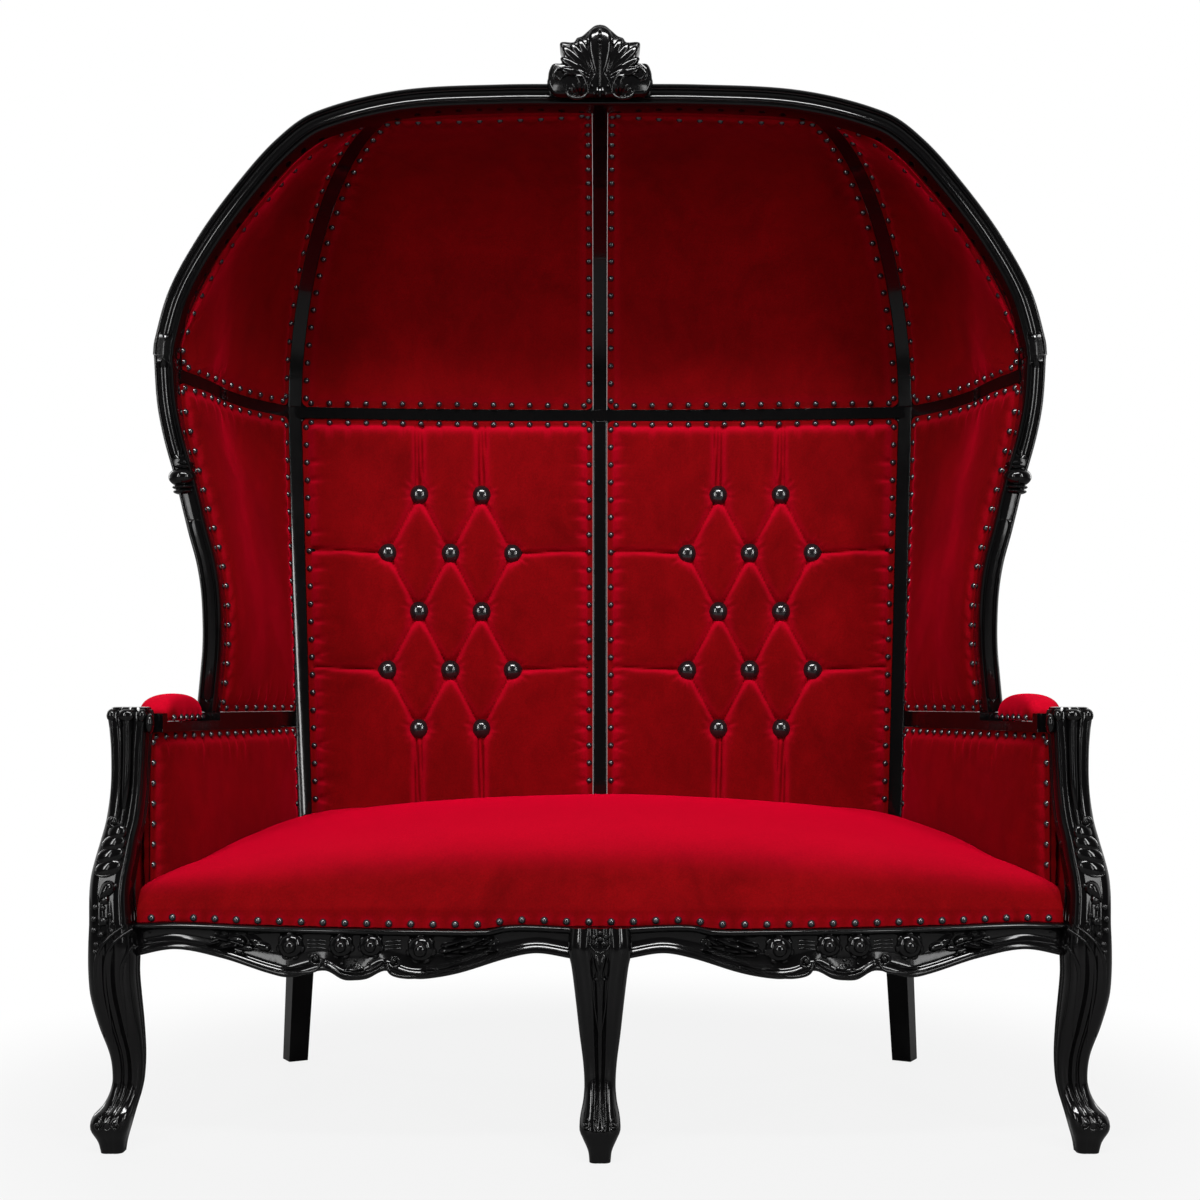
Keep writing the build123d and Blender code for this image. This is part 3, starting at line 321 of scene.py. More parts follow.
def velvet_material(name, wear):
    shade = Shade(name)
    swept = shade.noise(4.5, 5, 0.62, 1.2)
    streak = shade.noise(30, 5, 0.62, 0.5, shade.stretched((1.0, 1.0, 0.55), (0.5, 0.4, 0.3)))
    pile_and_painted_sheen = shade.noise(850, 2, 0.7)
    weave = shade.noise(300, 3, 0.6)
    lean = shade.ramp(swept * 0.6 + streak * 0.4, 0.30, 0.72)
    grain = shade.ramp(pile_and_painted_sheen * 0.5 + weave * 0.5, 0.34, 0.66)
    shine = shade.mix(lean, finishes().velvet_shade, finishes().velvet)
    worn = shade.mix(grain * wear, shine, times(finishes().velvet_shade, 0.5))
    # Painted sheen: a stored share per point brightens the base colour toward the painted sheen colour on
    # folds, tops and by nails.
    painted_sheen = shade.node("ShaderNodeAttribute", {"attribute_name": "pile_and_painted_sheen"}, give="Fac")
    return shade.finish(
        Base_Color=shade.mix(painted_sheen * (grain * -0.3 + 1.0), worn, finishes().velvet_painted_sheen),
        Roughness=0.95 - lean * 0.1,
        Normal=shade.bump(pile_and_painted_sheen * 0.7 + weave + streak, 0.32, 0.0008),
        Specular_IOR_Level=0.05,
        Sheen_Weight=1.0,
        Sheen_Roughness=0.30,
        Sheen_Tint=(1.0, 0.0, 0.035, 1),
    )


def gunmetal_material():
    shade = Shade("gunmetal")
    smoke = shade.noise(160, 3)
    return shade.finish(
        Base_Color=shade.mix(smoke, finishes().gunmetal, times(finishes().gunmetal, 1.7)),
        Roughness=smoke * 0.08 + 0.12,
        Specular_IOR_Level=0.7,
        Normal=shade.bump(smoke, 0.05, 0.0004),
        Coat_Weight=0.5,
        Coat_Roughness=0.05,
    )


def button_material():
    shade = Shade("glossy_button")
    smoke = shade.noise(60, 2)
    return shade.finish(
        Base_Color=shade.mix(smoke, (0.004, 0.004, 0.005), (0.010, 0.009, 0.010)),
        Roughness=smoke * 0.05 + 0.15,
        Normal=shade.bump(smoke, 0.03, 0.0005),
        Coat_Weight=0.3,
        Coat_Roughness=0.09,
    )


def wood_material():
    shade = Shade("bare_wood")
    rings = shade.noise(16, 5, 0.6, 1.4, shade.stretched((0.35, 3.0, 4.0)))
    pores = shade.noise(260, 3, where=shade.stretched((0.08, 1.0, 1.0)))
    base = finishes().bare_wood
    return shade.finish(
        Base_Color=shade.mix(rings * 0.7 + pores * 0.3, times(base, 0.55), base),
        Roughness=0.55 + pores * 0.25,
        Normal=shade.bump(pores + rings, 0.25, 0.0008),
        Specular_IOR_Level=0.35,
    )


def strap_material(name, color, scale):
    shade = Shade(name)
    threads = {"Vector": shade.place, "Scale": scale, "Distortion": 0.6, "Detail": 1.0}
    weft, warp = (
        shade.node("ShaderNodeTexWave", {"bands_direction": way}, threads, "Fac") for way in ("X", "Y")
    )
    fuzz = shade.noise(500, 3)
    return shade.finish(
        Base_Color=shade.mix(weft * warp + fuzz * 0.3, times(color, 0.5), color),
        Roughness=0.85 + fuzz * 0.1,
        Normal=shade.bump(weft + warp + fuzz, 0.5, 0.0008),
        Specular_IOR_Level=0.2,
        Sheen_Weight=0.1,
    )


materials = {}


def finish_of(kind):
    """The material of a kind, made when it is first asked for."""
    makers = {
        "lacquer": lacquer_material,
        "velvet": lambda: velvet_material("velvet", 0.42),
        "outside_velvet": lambda: velvet_material("outside_velvet", 0.5),
        "bare_wood": wood_material,
        "webbing": lambda: strap_material("webbing", finishes().webbing, 260),
        "dust_cloth": lambda: strap_material("dust_cloth", (0.02, 0.02, 0.021), 700),
        "dome_nail": gunmetal_material,
        "button": button_material,
    }
    if kind not in materials:
        materials[kind] = makers[kind]()
    return materials[kind]


# Modelling helpers.


def unselect():
    bpy.ops.object.select_all(action="DESELECT")


def pick(piece):
    unselect()
    piece.select_set(True)
    bpy.context.view_layer.objects.active = piece


def edit(piece):
    """Starts edit mode on a piece, with all of it selected."""
    pick(piece)
    bpy.ops.object.mode_set(mode="EDIT")
    bpy.ops.mesh.select_all(action="SELECT")


def leave_edit():
    bpy.ops.object.mode_set(mode="OBJECT")


def placed(name, data):
    piece = bpy.data.objects.new(name, data)
    bpy.context.scene.collection.objects.link(piece)
    return piece


def sphere(segments, rings):
    unselect()
    bpy.ops.mesh.primitive_uv_sphere_add(segments=segments, ring_count=rings, radius=1)
    return bpy.context.object


def smooth(piece, angle=38):
    pick(piece)
    bpy.ops.object.shade_smooth_by_angle(angle=math.radians(angle))


def apply_modifier(piece, kind, **settings):
    modifier = piece.modifiers.new(kind.title(), kind)
    for key, value in settings.items():
        setattr(modifier, key, value)
    pick(piece)
    bpy.ops.object.modifier_apply(modifier=modifier.name)


def recalculated(piece):
    edit(piece)
    bpy.ops.mesh.remove_doubles(threshold=1e-5)
    bpy.ops.mesh.normals_make_consistent(inside=False)
    leave_edit()
    return piece


def joined(name, pieces):
    unselect()
    for piece in pieces:
        piece.select_set(True)
    bpy.context.view_layer.objects.active = pieces[0]
    bpy.ops.object.join()
    pieces[0].name = name
    return pieces[0]


def mirrored(piece, name):
    """A left-hand copy with its own mesh."""
    twin = placed(name, piece.data.copy())
    for vertex in twin.data.vertices:
        vertex.co.x = -vertex.co.x
    twin.data.flip_normals()
    return twin


def settle(piece, kind, *nodes):
    """Gives a finished piece its material, its body and the solids that it stands for."""
    piece.data.materials.clear()
    piece.data.materials.append(finish_of(kind))
    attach(piece, BODY)
    if nodes:
        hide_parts(*nodes)
    return piece


def settle_pair(piece, name, kind, nodes=()):
    """A right-hand piece and its mirror image, each standing for the solids of its own side."""
    piece.name = f"{name}_right"
    twin = mirrored(piece, f"{name}_left")
    for one, side in ((piece, "right"), (twin, "left")):
        settle(one, kind, *[f"{node}_{side}" for node in nodes])
    return piece, twin


def add_shape(mesh, pattern, stand):
    """Adds a copy of a pattern to a mesh, moved by a matrix."""
    first = len(mesh.verts)
    mesh.from_mesh(pattern.data)
    mesh.verts.ensure_lookup_table()
    bmesh.ops.transform(mesh, matrix=stand, verts=mesh.verts[first:])


def from_bmesh(name, mesh):
    data = bpy.data.meshes.new(name)
    mesh.to_mesh(data)
    mesh.free()
    return placed(name, data)


def laid_grid(name, across, up, surface):
    """A grid whose every point is moved onto a surface, which is asked for shares across and up."""
    unselect()
    bpy.ops.mesh.primitive_grid_add(x_subdivisions=across, y_subdivisions=up, size=1)
    piece = bpy.context.object
    piece.name = name
    for vertex in piece.data.vertices:
        vertex.co = surface(clamp(vertex.co.x + 0.5), clamp(vertex.co.y + 0.5))
    return piece


def run_of_rings(name, rings):
    """A bar that is extruded ring by ring: each ring is a closed row of as many points."""
    unselect()
    bpy.ops.mesh.primitive_circle_add(vertices=len(rings[0]), fill_type="NGON")
    piece = bpy.context.object
    piece.name = name
    edit(piece)
    mesh = bmesh.from_edit_mesh(piece.data)
    mesh.verts.ensure_lookup_table()
    order = [vertex.index for vertex in mesh.verts]
    for index, point in zip(order, rings[0]):
        mesh.verts[index].co = point
    for ring in rings[1:]:
        bpy.ops.mesh.extrude_region_move()
        mesh = bmesh.from_edit_mesh(piece.data)
        mesh.verts.ensure_lookup_table()
        mesh.verts.index_update()
        grown = []
        for index in order:
            old = mesh.verts[index]
            others = [edge.other_vert(old) for edge in old.link_edges]
            grown.append(next(other.index for other in others if other.select))
        for index, point in zip(grown, ring):
            mesh.verts[index].co = point
        order = grown
    bmesh.update_edit_mesh(piece.data)
    leave_edit()
    return recalculated(piece)


CLOTH = {
    "quality": 5, "mass": 0.3, "tension_stiffness": 12, "compression_stiffness": 12,
    "shear_stiffness": 6, "bending_stiffness": 0.6, "use_pressure": True, "vertex_group_mass": "firm",
}


def swollen(piece, firm, pressure, frames, cap):
    """Lets cloth under air pressure swell a piece between its firm points; cap limits each point's way."""
    group = piece.vertex_groups.new(name="firm")
    group.add(firm, 1.0, "REPLACE")
    before = [vertex.co.copy() for vertex in piece.data.vertices]
    cloth = piece.modifiers.new("Cloth", "CLOTH")
    for key, value in CLOTH.items():
        setattr(cloth.settings, key, value)
    cloth.settings.uniform_pressure_force = pressure
    cloth.settings.effector_weights.gravity = 0
    cloth.collision_settings.use_collision = False
    cloth.point_cache.frame_end = frames
    for step in range(1, frames + 1):
        bpy.context.scene.frame_set(step)
    shown = piece.evaluated_get(bpy.context.evaluated_depsgraph_get())
    after = [vertex.co.copy() for vertex in shown.data.vertices]
    piece.modifiers.clear()
    piece.vertex_groups.clear()
    bpy.context.scene.frame_set(1)
    for vertex, start, end in zip(piece.data.vertices, before, after):
        way = end - start
        if way.length > cap:
            way *= cap / way.length
        vertex.co = start + way


def ball(center, radii, segments, rings):
    piece = sphere(segments, rings)
    for vertex in piece.data.vertices:
        vertex.co = Vector(center) + Vector([c * r for c, r in zip(vertex.co, radii)])
    return piece


def tube(name, points, radius, taper=None):
    """A round bead along a smooth curve through points; taper gives each point a share of the radius."""
    unselect()
    data = bpy.data.curves.new(name, "CURVE")
    data.dimensions = "3D"
    data.bevel_depth = radius * MM
    data.bevel_resolution = 3
    data.use_fill_caps = True
    line = data.splines.new("NURBS")
    line.points.add(len(points) - 1)
    for index, point in enumerate(points):
        line.points[index].co = (*(Vector(point) * MM), 1)
        line.points[index].radius = taper[index] if taper else 1
    line.order_u = 3
    line.use_endpoint_u = True
    line.resolution_u = 5
    pick(placed(name, data))
    bpy.ops.object.convert(target="MESH")
    return bpy.context.object


def finished_copy(name, node, bevel=1.2, flat=0.6):
    """A copy of a solid's mesh with its flat faces merged and its sharp edges eased."""
    piece = placed(name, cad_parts[node].data.copy())
    edit(piece)
    bpy.ops.mesh.remove_doubles(threshold=2e-6)
    bpy.ops.mesh.dissolve_limited(angle_limit=math.radians(flat))
    leave_edit()
    smooth(piece)
    eased = {"width": bevel * MM, "segments": 3, "limit_method": "ANGLE", "angle_limit": math.radians(35)}
    apply_modifier(piece, "BEVEL", **eased, harden_normals=True)
    return piece


# The settee's surfaces, in millimetres, as its solids have them.

# A side at a share of the stile's height; then the arch's and the hood's rise at a share of their width.
STILE_LINE = (
    (-0.018, 0.928), (0, 0.925), (0.117, 0.913), (0.186, 0.907), (0.255, 0.905), (0.348, 0.907),
    (0.431, 0.916), (0.516, 0.933), (0.665, 0.96), (0.775, 0.983), (0.872, 0.996), (1, 1), (1.018, 1),
)
ARCH_LINE = (
    (0, 1), (0.232, 0.999), (0.457, 0.977), (0.642, 0.898), (0.723, 0.803), (0.807, 0.647), (0.897, 0.443),
    (0.964, 0.241), (0.997, 0.051), (1, 0),
)
HOOD_TOP = (
    (0, 0.959), (0.228, 0.958), (0.457, 0.939), (0.523, 0.922), (0.576, 0.9), (0.628, 0.865), (0.67, 0.821),
    (0.707, 0.768), (0.749, 0.689), (0.833, 0.521), (0.875, 0.416), (0.911, 0.311), (0.938, 0.222),
    (0.959, 0.135), (0.972, 0.047),
)
# How far a wing bows out at a share of its depth, and where the hood's side starts on the wing.
WALL_BENDS = ((0, 0), (0.25, 0.2), (0.5, 0.9), (0.75, 0.85), (1, 0))
HOOD_SIDE = ((0, 1), (0.24, 0.79), (0.51, 0.57), (0.75, 0.36), (0.91, 0.18), (0.995, 0.03))
# The seat from front to back: its height in the middle and at the sides, as shares.
SEAT_ROWS = (
    (0, 0.05, -0.44), (0.038, 0.337, -0.247), (0.082, 0.54, 0.061), (0.154, 0.742, 0.331),
    (0.333, 0.933, 0.393), (0.53, 1, 0.472), (0.709, 0.988, 0.538), (0.897, 0.933, 0.607), (1, 0.9, 0.607),
)
ARCH_RISE = ARCH_TOP - ARCH_HALF - JOINT_LEVEL
STILE_SPAN = JOINT_LEVEL - ARM_TOP


def stile_offset(level):
    return ARCH_SIDE * curve_row(STILE_LINE, (level - ARM_TOP) / STILE_SPAN)[0]


def stile_back(level):
    lean = (STILE_FRONT_LOW - ARCH_FRONT) * (JOINT_LEVEL - level) / STILE_SPAN
    return ARCH_FRONT + MOLDING_DEPTH + lean


def post_share(level):
    return (level - RAIL_TOP) / (MID_LEVEL - RAIL_TOP)


def corner_point(level):
    share = post_share(level)
    return Vector((blend(*CORNER_SIDE, share), blend(*CORNER_BACK, share), level))


def back_middle(level):
    return Vector((0, blend(*BACK_MIDDLE, post_share(level)), level))


CORNER_ALONG = Vector((math.cos(CORNER_TURN), -math.sin(CORNER_TURN), 0))


def bar_side(level, side):
    return corner_point(level) + CORNER_ALONG * (side * BAR_EDGE)


PANEL_FOOT = RAIL_TOP + 9
PANEL_HEAD = MID_LEVEL - MID_HALF - FIT


def back_surface(u, v):
    level = blend(PANEL_FOOT, PANEL_HEAD, v)
    middle = back_middle(level)
    start = middle + Vector((BAR_EDGE, 0, 0))
    sag = middle.y - corner_point(level).y
    return start.lerp(bar_side(level, -1), u) + Vector((0, sag * u * (1 - u), 0))


def bowed(start, end, u, bow):
    run = (end - start).normalized()
    return start.lerp(end, u) + Vector((run.y, -run.x, 0)) * (bow * curve_row(WALL_BENDS, u)[0])


def wing_front(level):
    return Vector((stile_offset(level) - STILE_HALF - FIT, stile_back(level) + FIT, level))


def wing_surface(u, v):
    level = blend(ARM_TOP + FIT, PANEL_HEAD, v)
    bow = WALL_BOW * (level - ARM_TOP) / (MID_LEVEL - ARM_TOP)
    return bowed(wing_front(level), bar_side(level, 1), u, bow)


def arm_wall_surface(u, v):
    level = blend(PANEL_FOOT, ARM_BOTTOM - FIT, v)
    return Vector((WALL_FRONT, POST_BACK + 1.6, level)).lerp(bar_side(level, 1), u)


def hood_line(base, side, v):
    """A place on the quarter ellipse from a point at the mid rail's level up to the arch."""
    top = Vector((side, ARCH_FRONT + MOLDING_DEPTH, MID_LEVEL))
    run = base - top
    up = JOINT_LEVEL + ARCH_RISE * curve_row(HOOD_TOP, side / ARCH_SIDE)[0] - MID_LEVEL
    low_turn = math.asin(clamp((MID_HALF + FIT) / up))
    high_turn = math.acos(clamp(FIT / run.length))
    turn = blend(low_turn, high_turn, v)
    return top + run * math.cos(turn) + Vector((0, 0, up * math.sin(turn)))


def rib_edge(side):
    """Where the velvet meets the corner rib at the arch; side is 1 outside the rib and -1 inside it."""
    run = corner_point(MID_LEVEL) - Vector((RIB_SIDE, ARCH_FRONT + MOLDING_DEPTH, MID_LEVEL))
    return RIB_SIDE + side * BAR_EDGE * run.length / run.y


def hood_surface(u, v):
    middle = back_middle(MID_LEVEL)
    corner = bar_side(MID_LEVEL, -1)
    base_side = blend(BAR_EDGE, corner.x, u)
    bend = base_side / corner.x
    base = Vector((base_side, blend(middle.y, corner.y, bend * bend), MID_LEVEL))
    return hood_line(base, blend(BAR_EDGE, rib_edge(-1), u), v)


def hood_side_surface(u, v, lap=0.0):
    along = curve_row(HOOD_SIDE, u)[0] - lap * rise(u, 0.8, 1.0)
    base = bowed(wing_front(MID_LEVEL), bar_side(MID_LEVEL, 1), along, WALL_BOW)
    return hood_line(base, blend(rib_edge(1), ARCH_SIDE - STILE_HALF, u), v)


def rail_bow(side):
    share = side / RAIL_OUTER
    return blend(RAIL_FRONT_CENTER, RAIL_FRONT_END, share * share)


# Nails and buttons: their places are read from the solids.


def heads_of(node):
    """The middle of each head's flat back and the way it looks, for a solid group of heads, in metres."""
    mesh = bmesh.new()
    mesh.from_mesh(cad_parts[node].data)
    bmesh.ops.remove_doubles(mesh, verts=mesh.verts, dist=1e-6)
    left = set(mesh.faces)
    heads = []
    while left:
        queue = [left.pop()]
        island = []
        while queue:
            face = queue.pop()
            island.append(face)
            for edge in face.edges:
                for other in edge.link_faces:
                    if other in left:
                        left.discard(other)
                        queue.append(other)
        flats = {}
        for face in island:
            key = tuple(round(c, 2) for c in face.normal)
            flats.setdefault(key, []).append(face)
        flat = max(flats.values(), key=lambda faces: sum(face.calc_area() for face in faces))
        rim = {vertex for face in flat for vertex in face.verts}
        middle = sum((vertex.co for vertex in rim), Vector()) / len(rim)
        heads.append((middle.copy(), -flat[0].normal.copy()))
    mesh.free()
    return sorted(heads, key=lambda head: tuple(round(c, 5) for c in head[0]))


def near_tree(places):
    tree = KDTree(max(len(places), 1))
    for index, place in enumerate(places):
        tree.insert(place, index)
    tree.balance()
    return tree


def strewn(name, pattern, heads):
    """One piece made of copies of a pattern, each standing on its place and looking its way."""
    mesh = bmesh.new()
    for middle, way in heads:
        stand = Matrix.Translation(middle) @ way.to_track_quat("Z", "Y").to_matrix().to_4x4()
        add_shape(mesh, pattern, stand)
    piece = from_bmesh(name, mesh)
    smooth(piece, 50)
    return piece


def domed(radius, height, segments, rings, rim):
    """The cap of a flattened ball on a flat back, with a small rim round its foot."""
    piece = sphere(segments, rings)
    edit(piece)
    bpy.ops.mesh.bisect(plane_co=(0, 0, 0), plane_no=(0, 0, 1), use_fill=True, clear_inner=True)
    leave_edit()
    for vertex in piece.data.vertices:
        x, y, z = vertex.co
        flare = 1 + rim * (1 - rise(z, 0.0, 0.35))
        vertex.co = (x * radius * flare, y * radius * flare, z * height)
    return recalculated(piece)


NAIL_GROUPS = ("back_nails", "hood_nails", "wing_nails", "arm_nails", "seat_nails")
nail_heads = {group: heads_of(group) for group in NAIL_GROUPS}
button_heads = heads_of("tuft_buttons")


# Velvet panels.


# Lengths of the panels' velvet and boards, in millimetres; the thickness is in metres.
CORNER_RADIUS = 11
NAIL_INSET = 7
NAIL_REACH = 110
# Strength of the painted sheen on steep and upward-facing velvet.
PAINTED_SHEEN_GAIN = 0.62
FOLD_WIDTH = 3.8
PAD_THICKNESS = 0.012
BOARD_BEHIND = 2.2
BOARD_CELLS = 28
# The share of its width by which the board at the hood's side goes under the arch.
ARCH_LAP = 0.075


def rounded_shares(u, v, width, height):
    """Moves a share across and up so that a panel's corners are round."""
    dx = min(u, 1 - u) * width
    dy = min(v, 1 - v) * height
    radius = CORNER_RADIUS
    if dx < radius and dy < radius:
        a, b = 1 - dx / radius, 1 - dy / radius
        dx = radius * (1 - a * math.sqrt(1 - b * b / 2))
        dy = radius * (1 - b * math.sqrt(1 - a * a / 2))
        u = dx / width if u < 0.5 else 1 - dx / width
        v = dy / height if v < 0.5 else 1 - dy / height
    return u, v


def edge_gap(u, v, width, height):
    """How far a place lies from a panel's edge, with its corners round, in millimetres."""
    dx = min(u, 1 - u) * width
    dy = min(v, 1 - v) * height
    if dx < CORNER_RADIUS and dy < CORNER_RADIUS:
        return CORNER_RADIUS - math.hypot(CORNER_RADIUS - dx, CORNER_RADIUS - dy)
    return min(dx, dy)


def painted_sheen_share(here, flat):
    """Painted sheen and painted top light: brighter where the cloth is steep against the flat panel, more so
    where it faces up.
    """
    steep = math.sqrt(clamp(1 - here.dot(flat) ** 2))
    return PAINTED_SHEEN_GAIN * rise(steep, 0.08, 0.95) * clamp(0.8 + 0.7 * (here.z - flat.z), 0.35, 1.2)


def paint_sheen(piece, shares):
    """Stores at each point a share of painted sheen; the velvet's shader reads it."""
    layer = piece.data.attributes.new("pile_and_painted_sheen", "FLOAT", "POINT")
    layer.data.foreach_set("value", shares)


def panel_crown(here, flat, u, v, size, puff, tree):
    """How far the velvet stands out: flat at its nailed edge, with a fold from each nail, crowned inside."""
    gap = edge_gap(u, v, *size)
    crown = puff * (1 - math.exp(-max(gap - 10, 0) / 8)) + puff * 0.5 * rise(gap, 8, min(size) / 2)
    if gap < NAIL_REACH:
        near, _, reach = tree.find(flat)
        reach /= MM
        along = math.sqrt(max(reach * reach - (gap - NAIL_INSET) ** 2, 0))
        chance = noise.noise(near * 37)
        slant = along - (gap - NAIL_INSET) * 0.4 * chance
        fold = math.exp(-((slant / FOLD_WIDTH) ** 2)) * math.exp(-max(gap - 9, 0) / 12)
        fold *= rise(gap, 4, 12)
        crown *= 1 - clamp(0.9 + 0.6 * chance, 0.3, 1.0) * fold
        ring = (1 - math.exp(-((reach / 8) ** 2))) * (1 - rise(gap, NAIL_INSET, 12)) * rise(gap, 0, 3)
        crown += 0.9 * ring
    drift = noise.noise(here * 0.009) * 1.3 + noise.noise(here * 0.028) * 0.45
    return crown + drift * rise(gap, 12, 60), gap


def padded_panel(name, surface, size, puff, tree, step, relief=None, inward=1):
    """A velvet panel that is laid flat first, and then moved out of its own plane."""
    shares = []

    def flat(u, v):
        shares.append(rounded_shares(u, v, *size))
        return surface(*shares[-1]) * MM

    width, height = size
    piece = laid_grid(name, round(width / step), round(height / step), flat)
    points = piece.data.vertices
    normals = [vertex.normal * inward for vertex in points]
    for vertex, normal, (u, v) in zip(points, normals, shares):
        here = vertex.co / MM
        crown, gap = panel_crown(here, vertex.co, u, v, size, puff, tree)
        if relief:
            crown = relief(here, crown, gap)
        vertex.co += normal * crown * MM
    piece.data.update()
    # Painted sheen, brighter on steep and upward-facing cloth.
    paint_sheen(piece, [painted_sheen_share(vertex.normal * inward, normal) for vertex, normal in zip(points, normals)])
    if inward < 0:
        piece.data.flip_normals()
    apply_modifier(piece, "SOLIDIFY", thickness=PAD_THICKNESS, offset=-1, use_quality_normals=True)
    smooth(piece, 60)
    return piece


def ground_panel(name, surface, inward):
    """A thin lacquered board behind a panel, which shows where the panel's corners are round."""

    def place(u, v):
        here = surface(u, v)
        du = surface(min(u + 0.01, 1), v) - surface(max(u - 0.01, 0), v)
        dv = surface(u, min(v + 0.01, 1)) - surface(u, max(v - 0.01, 0))
        return (here - du.cross(dv).normalized() * inward * BOARD_BEHIND) * MM

    piece = laid_grid(name, BOARD_CELLS, BOARD_CELLS, place)
    if inward < 0:
        piece.data.flip_normals()
    apply_modifier(piece, "SOLIDIFY", thickness=0.0012, offset=-1)
    smooth(piece)
    return piece


def nail_tree(group):
    return near_tree([head[0] for head in nail_heads[group]])


def lined_pair(name, group, surface, size, puff, step, node, inward=1, relief=None, board=None):
    """The velvet of a right bay and its mirror image, with the boards behind them."""
    panel = padded_panel(f"{name}_velvet", surface, size, puff, nail_tree(group), step, relief, inward)
    settle_pair(panel, f"{name}_velvet", "velvet", [node])
    ground = ground_panel(f"{name}_ground", board or surface, inward)
    settle_pair(ground, f"{name}_ground", "lacquer")


class PieceOperator:
    """What every operator of the panel shares."""

    bl_options = {"REGISTER"}

    def execute(self, context):
        self.build()
        return {"FINISHED"}


# The tufted back.

BUTTON_SIDE = 272
BUTTON_LEVEL = 821
BUTTON_ACROSS = 113
BUTTON_UP = 106
BUTTON_HOLLOW = 17
PLEAT_REACH = 60
BACK_SIZE = (524, 831)  # width and height along the surface, as for the other panels
WING_SIZE = (372, 529)
ARM_SIZE = (552, 274)
HOOD_SIZE = (434, 620)
HOOD_SIDE_SIZE = (340, 400)


def pleat_lines():
    """The pleats of the right back panel, each from one place to another, as sides and levels."""
    rows = []
    for row in range(-2, 3):
        columns = (-0.5, 0.5) if row % 2 == 0 else (-1, 0, 1)
        rows.append([(BUTTON_SIDE + c * BUTTON_ACROSS, BUTTON_LEVEL - row * BUTTON_UP) for c in columns])
    lines = []
    for upper, lower in zip(rows, rows[1:]):
        for a in upper:
            for b in lower:
                if abs(a[0] - b[0]) < BUTTON_ACROSS * 0.6:
                    lines.append((a, b, 1.0))
    for row in (rows[1], rows[3]):
        lines.append((row[0], (16, row[0][1] + 6), 0.75))
        lines.append((row[-1], (534, row[-1][1] + 6), 0.75))
    for row, end in ((rows[0], PANEL_HEAD), (rows[-1], PANEL_FOOT)):
        for side, level in row:
            lines.append(((side - 4, level), (side - 7, end), 0.8))
            lines.append(((side + 4, level), (side + 7, end), 0.8))
    return [(Vector(a), Vector(b), strength) for a, b, strength in lines]


def groove_depth(spot, lines, depth):
    """How deep the pleats are at a place, of lines that each have a start, an end and a strength."""
    groove = 0.0
    for start, end, strength in lines:
        run = end - start
        share = clamp((spot - start).dot(run) / run.length_squared)
        away = (spot - start - run * share).length
        if away > PLEAT_REACH:
            continue
        wander = noise.noise(Vector((spot.x, spot.y, start.x)) * 0.035) * 1.6
        away = abs(away + wander)
        ends = share if strength < 1 else 2 * min(share, 1 - share)
        deep = strength * depth * blend(1.3, 0.7, rise(ends, 0, 0.8))
        groove = max(groove, deep * (math.exp(-((away / 3.4) ** 1.3)) + 0.9 * math.exp(-away / 14)))
    return groove


def tuft_relief(depth):
    """The function that draws the back's crown down along its pleats and at its buttons."""
    lines = pleat_lines()
    heads = [head[0] for head in button_heads if head[0].x > 0]
    buttons = [Vector((head.x / MM, head.z / MM)) for head in heads]
    rises = []
    for head, spot in zip(heads, buttons):
        side = (spot.x - BAR_EDGE) / (bar_side(spot.y, -1).x - BAR_EDGE)
        here = back_surface(side, (spot.y - PANEL_FOOT) / (PANEL_HEAD - PANEL_FOOT))
        rises.append(here.y - head.y / MM)
    lift = sum(rises) / len(rises) - 1.2

    def relief(here, crown, gap):
        spot = Vector((here.x, here.z))
        inside = rise(gap, 5, 16)
        crown -= groove_depth(spot, lines, depth) * inside
        center = min(buttons, key=lambda button: (spot - button).length_squared)
        nearest = (spot - center).length
        uneven = noise.noise(Vector((spot.x, spot.y, 0)) * 0.13)
        crown += 0.6 * uneven * math.exp(-(((nearest - 25) / 10) ** 2))
        turn = math.atan2(spot.y - center.y, spot.x - center.x)
        ripple = math.sin(11 * turn + center.x) + 0.6 * math.sin(17 * turn + center.y)
        crown += 0.85 * ripple * math.exp(-(((nearest - 24) / 9) ** 2))
        crown -= 9.0 * math.exp(-nearest / BUTTON_HOLLOW) * inside
        return blend(crown, lift, math.exp(-((nearest / 17.5) ** 4)))

    return relief


class SETTEE_OT_back(PieceOperator, bpy.types.Operator):
    """Button-tufted velvet back, in two panels"""

    bl_idname = "settee.back"
    bl_label = "Back panels"

    def build(self):
        step = 3.1
        puff, relief = sizes().back_puff / MM, tuft_relief(sizes().tuft_depth / MM)
        lined_pair("back", "back_nails", back_surface, BACK_SIZE, puff, step, "back_pad", 1, relief)


class SETTEE_OT_wings(PieceOperator, bpy.types.Operator):
    """Velvet panels of the wings above the arms"""

    bl_idname = "settee.wings"
    bl_label = "Wing panels"

    def build(self):
        step, puff = 4.2, sizes().panel_puff / MM
        lined_pair("wing", "wing_nails", wing_surface, WING_SIZE, puff, step, "side_pad", -1)


class SETTEE_OT_arm_walls(PieceOperator, bpy.types.Operator):
    """Velvet panels under the arms"""

    bl_idname = "settee.arm_walls"
    bl_label = "Arm panels"

    def build(self):
        step, puff = 4.2, sizes().panel_puff / MM
        lined_pair("arm", "arm_nails", arm_wall_surface, ARM_SIZE, puff, step, "arm_panel", -1)


class SETTEE_OT_hood(PieceOperator, bpy.types.Operator):
    """Velvet panels that line the hood"""

    bl_idname = "settee.hood"
    bl_label = "Hood panels"

    def build(self):
        step, puff = 4.4, sizes().panel_puff / MM
        lined_pair("hood", "hood_nails", hood_surface, HOOD_SIZE, puff * 0.85, step, "hood_pad")

        def lapped(u, v):
            return hood_side_surface(u, v, ARCH_LAP)

        surface, node = hood_side_surface, "hood_side_pad"
        puff *= 0.8
        lined_pair("hood_side", "hood_nails", surface, HOOD_SIDE_SIZE, puff, step, node, board=lapped)


# Seat.


